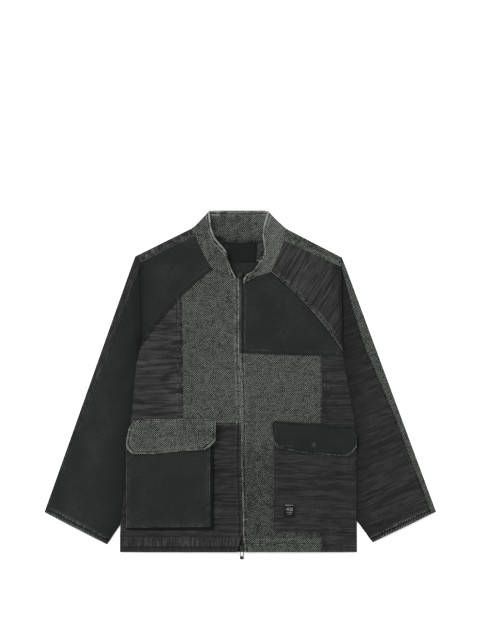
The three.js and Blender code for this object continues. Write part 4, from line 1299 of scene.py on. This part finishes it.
label_middle = (label_left + label_right) / 2
bar_width = 1.3
number = bpy.data.curves.new("size_number", "FONT")
number.body = "48"
number.size = 13
number.align_x = "CENTER"
number.extrude = 0.08
number_object = bpy.data.objects.new("size_number_text", number)
bpy.context.scene.collection.objects.link(number_object)
bpy.context.view_layer.update()
number_mesh = bpy.data.meshes.new_from_object(number_object)
bpy.data.objects.remove(number_object)
corners = np.zeros(len(number_mesh.vertices) * 3, np.float32)
number_mesh.vertices.foreach_get("co", corners)
corners = corners.reshape(-1, 3)
corners[:, 0] = corners[:, 0] * 1.25 + label_middle
corners[:, 1] = corners[:, 1] * 0.8 + 92
corners[:, 2] = corners[:, 2] + label_height(corners[:, 0], corners[:, 1]) + 0.55
number_mesh.vertices.foreach_set("co", ((corners + [0, hem_y, 0]) / 1000).astype(np.float32).ravel())
white_weft = thread("white_weft", "#4a4c4a", "#90928f")
number_mesh.materials.clear()
number_mesh.materials.append(white_weft)
size_number = bpy.data.objects.new("size_number", number_mesh)
bpy.context.scene.collection.objects.link(size_number)
bars = []
for bar_y, half in ((88.0, 6.0), (84.0, 4.0), (103.5, 9.0)):
    left, right = label_middle - half, label_middle + half
    bars += [[left, bar_y, 0], [right, bar_y, 0], [right, bar_y + bar_width, 0], [left, bar_y + bar_width, 0]]
bars = np.array(bars)
bars[:, 2] = label_height(bars[:, 0], bars[:, 1]) + 0.58
size_bars = mesh_object("size_bars", bars, np.arange(len(bars)).reshape(-1, 4), white_weft)
for mark in (size_number, size_bars):
    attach(mark, "jacket")

# ---- Zip ----
# An open-ended metal zip, closed to the neck, behind both front edges: black tapes, a chain of small
# blackened teeth and a slider at each end. Only the lower slider's pull shows, a long loop that hangs over
# the hem.
zip_under = front_edge + crown - 0.4 - thin
for side, sign, foot in (("right", -1, 4 - 5.1), ("left", 1, 4 + 5.1)):
    inner_line = [[foot, 2], [foot, 16.5]]
    inner_line += [[zip_line(42.0) + sign * 2.9, 42], [zip_line(600.0) + sign * 2.9, 600]]
    outer_line = [[6 + sign * 14, 2], [zip_line(600.0) + sign * 14, 600]]
    first, last = (outer_line, inner_line) if sign < 0 else (inner_line, outer_line)
    tape_plan = patch([first[0], last[0]], last, [first[-1], last[-1]], first, 6.0)
    tape_middle = flat_piece(tape_plan, zip_under + 0 * tape_plan[..., 0])
    tape, _, _ = shell(f"zip_tape_{side}", tape_middle, thin, black_twill)
    sheet(tape)



def zinc_casting(name, slot):
    """Cast zinc, chemically blackened: a dull dark metal, scuffed back to grey in patches of about 2 mm."""
    material, tree, shader = finish(name, slot, metallic=1.0, roughness=0.42)
    place = tree.nodes.new("ShaderNodeTexCoord").outputs["Object"]
    scuffed = add(tree, "ShaderNodeTexNoise", {"Vector": place, "Scale": 420.0, "Detail": 4.0})
    coloured(tree, shader, scuffed, [(0.35, "#1c1c1c"), (0.72, "#5c5b58")])
    return material


gunmetal = zinc_casting("blackened_zinc_casting", "zip_metal")
tooth = 2.6
tooth_y = np.arange(16.5, 598, tooth / 2)
tooth_side = np.where(np.arange(len(tooth_y)) % 2, 1, -1)
tooth_x = zip_line(tooth_y) + tooth_side * 0.75
profile = np.array([[-1, -1], [1, -1], [1, 1], [-1, 1]], float)
levels = [(1.75, 0.95, -0.8), (1.75, 0.95, 0.75), (1.3, 0.55, 1.1)]
ring = np.vstack([np.c_[profile * [half, deep], np.full(4, rise)] for half, deep, rise in levels])
teeth = ring[None] + np.stack([tooth_x, tooth_y, np.full(len(tooth_y), zip_under + 0.1)], -1)[:, None]
faces = [[k, (k + 1) % 4, (k + 1) % 4 + 4, k + 4] for k in range(4)]
faces += [[k + 4, (k + 1) % 4 + 4, (k + 1) % 4 + 8, k + 8] for k in range(4)]
faces += [[8, 9, 10, 11], [3, 2, 1, 0]]
tooth_faces = np.array(faces)[None] + 12 * np.arange(len(tooth_y))[:, None, None]
chain = mesh_object("zip_teeth", teeth.reshape(-1, 3), tooth_faces.reshape(-1, 4), gunmetal)
chain.data.polygons.foreach_set("use_smooth", np.zeros(len(chain.data.polygons), bool))
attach(chain, "jacket")
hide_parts("zip_chain")


def cast_metal(node, body, edge):
    """A copy of a hard part with its corners eased by a small bevel of a size in mm."""
    mesh = bpy.data.objects[node].data.copy()
    work = bmesh.new()
    work.from_mesh(mesh)
    bmesh.ops.remove_doubles(work, verts=work.verts, dist=1e-6)
    work.to_mesh(mesh)
    work.free()
    made = bpy.data.objects.new(f"{node}_cast", mesh)
    bpy.context.scene.collection.objects.link(made)
    bevel = made.modifiers.new("eased", "BEVEL")
    bevel.width = edge / 1000
    bevel.segments = 2
    bevel.limit_method = "ANGLE"
    mesh.materials.clear()
    mesh.materials.append(gunmetal)
    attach(made, body)
    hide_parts(node)


cast_metal("zip_slider_bottom", "jacket", 0.25)
cast_metal("zip_slider_top", "jacket", 0.25)
cast_metal("zip_pull", "pull_tab", 0.3)

# ---- Stitching ----
# Topstitching in thick grey and black cotton thread, two rows along most seams and one inside each rim.
# Each stitch is a short spindle half sunk in the cloth, about 4 mm from the next, and some are worn
# through.


def row_on(grid, side, inset, start=0.0, end=1.0):
    """Points on a face at an inset from one side of its grid, in mm, between two shares of that side's
    length: for each grid line, a straight mix of the two points on either side of the inset."""
    if side in ("left", "right"):
        grid = np.swapaxes(grid, 0, 1)
    if side in ("top", "right"):
        grid = grid[::-1]
    gone = gone_along(grid)
    after = np.clip(np.argmax(gone >= inset, axis=0), 1, None)
    column = np.arange(grid.shape[1])
    low, high = gone[after - 1, column], gone[after, column]
    share = ((inset - low) / (high - low))[:, None]
    line = grid[after - 1, column] * (1 - share) + grid[after, column] * share
    first, last = round(start * (len(line) - 1)), round(end * (len(line) - 1))
    return line[first : last + 1]


grey_rows, black_rows = [], []


def stitch(rows, name, side, insets, start=0.0, end=1.0, worn=0.15):
    """Adds rows of stitches along one side of a piece."""
    for inset in insets:
        rows.append((row_on(tops[name], side, inset, start, end), worn))


def thread_mesh(name, lines, material, pitch, radius, seed):
    """All stitches as one mesh. Each is a spindle on four sides: a point, two square rings and a point,
    along three quarters of its pitch, with a small lean and sway of its own."""
    random = np.random.default_rng(seed)
    starts, ends = [], []
    for line, worn in lines:
        count = max(2, int(length_of(line) / pitch))
        kept = random.uniform(size=count) > worn
        first = np.arange(count)[kept] / count
        starts.append(along(line, first))
        ends.append(along(line, first + 0.74 / count))
    start, end = np.vstack(starts), np.vstack(ends)
    ahead = end - start
    length = np.linalg.norm(ahead, axis=1, keepdims=True)
    ahead = ahead / length
    beside = np.cross(ahead, [0, 0, 1.0])
    beside /= np.linalg.norm(beside, axis=1, keepdims=True)
    above = np.cross(beside, ahead)
    start = start + beside * random.uniform(-0.2, 0.2, (len(start), 1))
    thick = radius * random.uniform(0.8, 1.2, (len(start), 1))
    rings = [start - above * 0.25]
    for share in (0.22, 0.78):
        middle = start + ahead * length * share + above * 0.12
        round_it = (beside * thick, above * thick, -beside * thick, -above * thick)
        rings += [middle + out for out in round_it]
    rings.append(end - above * 0.25)
    points = np.stack(rings, axis=1)
    points[..., 2] = np.maximum(points[..., 2], -0.15)
    faces = []
    for k in range(4):
        after = (k + 1) % 4
        faces += [[0, 1 + after, 1 + k], [9, 5 + k, 5 + after]]
        faces += [[1 + k, 1 + after, 5 + after], [1 + k, 5 + after, 5 + k]]
    whole = np.array(faces)[None] + 10 * np.arange(len(start))[:, None, None]
    made = mesh_object(name, points.reshape(-1, 3), whole.reshape(-1, 3), material)
    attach(made, "jacket")


stitch(black_rows, "yoke_right", "bottom", (2.2, 6.4), worn=0.3)
stitch(grey_rows, "yoke_left", "bottom", (2.2, 7.4), worn=0.1)
stitch(grey_rows, "chest_right", "right", (5.4,), worn=0.3)
stitch(black_rows, "chest_left", "left", (5.4,), worn=0.3)
stitch(grey_rows, "mid_left", "left", (5.4,), worn=0.3)
stitch(black_rows, "lower_right", "right", (6.6,), worn=0.3)
stitch(black_rows, "side_right", "right", (8.0,), worn=0.3)
stitch(grey_rows, "side_right", "right", (2.5, 13.0), worn=0.5)
stitch(black_rows, "side_left", "left", (3.0, 9.5), worn=0.3)
stitch(black_rows, "chest_left", "bottom", (3.0, 8.0), worn=0.3)
stitch(grey_rows, "mid_left", "bottom", (18.0, 30.0), worn=0.4)
stitch(black_rows, "side_left", "bottom", (18.0, 30.0), worn=0.3)
stitch(black_rows, "hem_band_right", "bottom", (10.0,), worn=0.3)
stitch(black_rows, "hem_band_right", "top", (2.5,), worn=0.4)
for side, inset in (("bottom", 4.8), ("right", 4.8), ("left", 4.8), ("top", 3.0), ("top", 8.0)):
    stitch(grey_rows, "flap_right", side, (inset,), worn=0.15)
stitch(grey_rows, "flap_left", "bottom", (1.5, 5.5), end=0.2, worn=0.05)
stitch(grey_rows, "flap_left", "left", (1.5, 5.5), end=0.4, worn=0.1)
stitch(grey_rows, "flap_left", "bottom", (1.5,), start=0.25, end=0.8, worn=0.3)
stitch(grey_rows, "flap_left", "bottom", (1.5, 5.0), start=0.8, worn=0.05)
stitch(black_rows, "flap_left", "top", (3.0, 8.0), worn=0.3)
for side in ("bottom", "left", "right"):
    stitch(black_rows, "pocket_right", side, (4.2,), worn=0.3)
    stitch(black_rows, "pocket_left", side, (2.2, 7.0), worn=0.3)
for side in ("right", "left"):
    stitch(grey_rows, f"shoulder_strip_{side}", "left", (1.5, 5.0), worn=0.2)
    stitch(grey_rows, f"overarm_strip_{side}", "left", (1.5, 4.5), worn=0.25)
    stitch(black_rows, f"sleeve_{side}", "left", (2.5,), worn=0.2)
    stitch(grey_rows, f"sleeve_{side}", "top", (3.0, 12.5), worn=0.3)
for face, start, end in ((collar_out, 0.0, 0.38), (collar_in, 0.42, 0.58), (collar_out, 0.62, 1.0)):
    grey_rows.append((row_on(face, "top", 5.2, start, end), 0.15))
    rows = black_rows if face is collar_in else grey_rows
    rows.append((row_on(face, "bottom", 3.0, start, end), 0.25))
thread_mesh("topstitching_grey", grey_rows, thread("grey_cotton_thread", "#444644", "#92958f"), 4.2, 0.5, 17)
black_thread = thread("black_cotton_thread", "#1c1d1c", "#4a4c4a")
thread_mesh("topstitching_black", black_rows, black_thread, 3.6, 0.4, 18)

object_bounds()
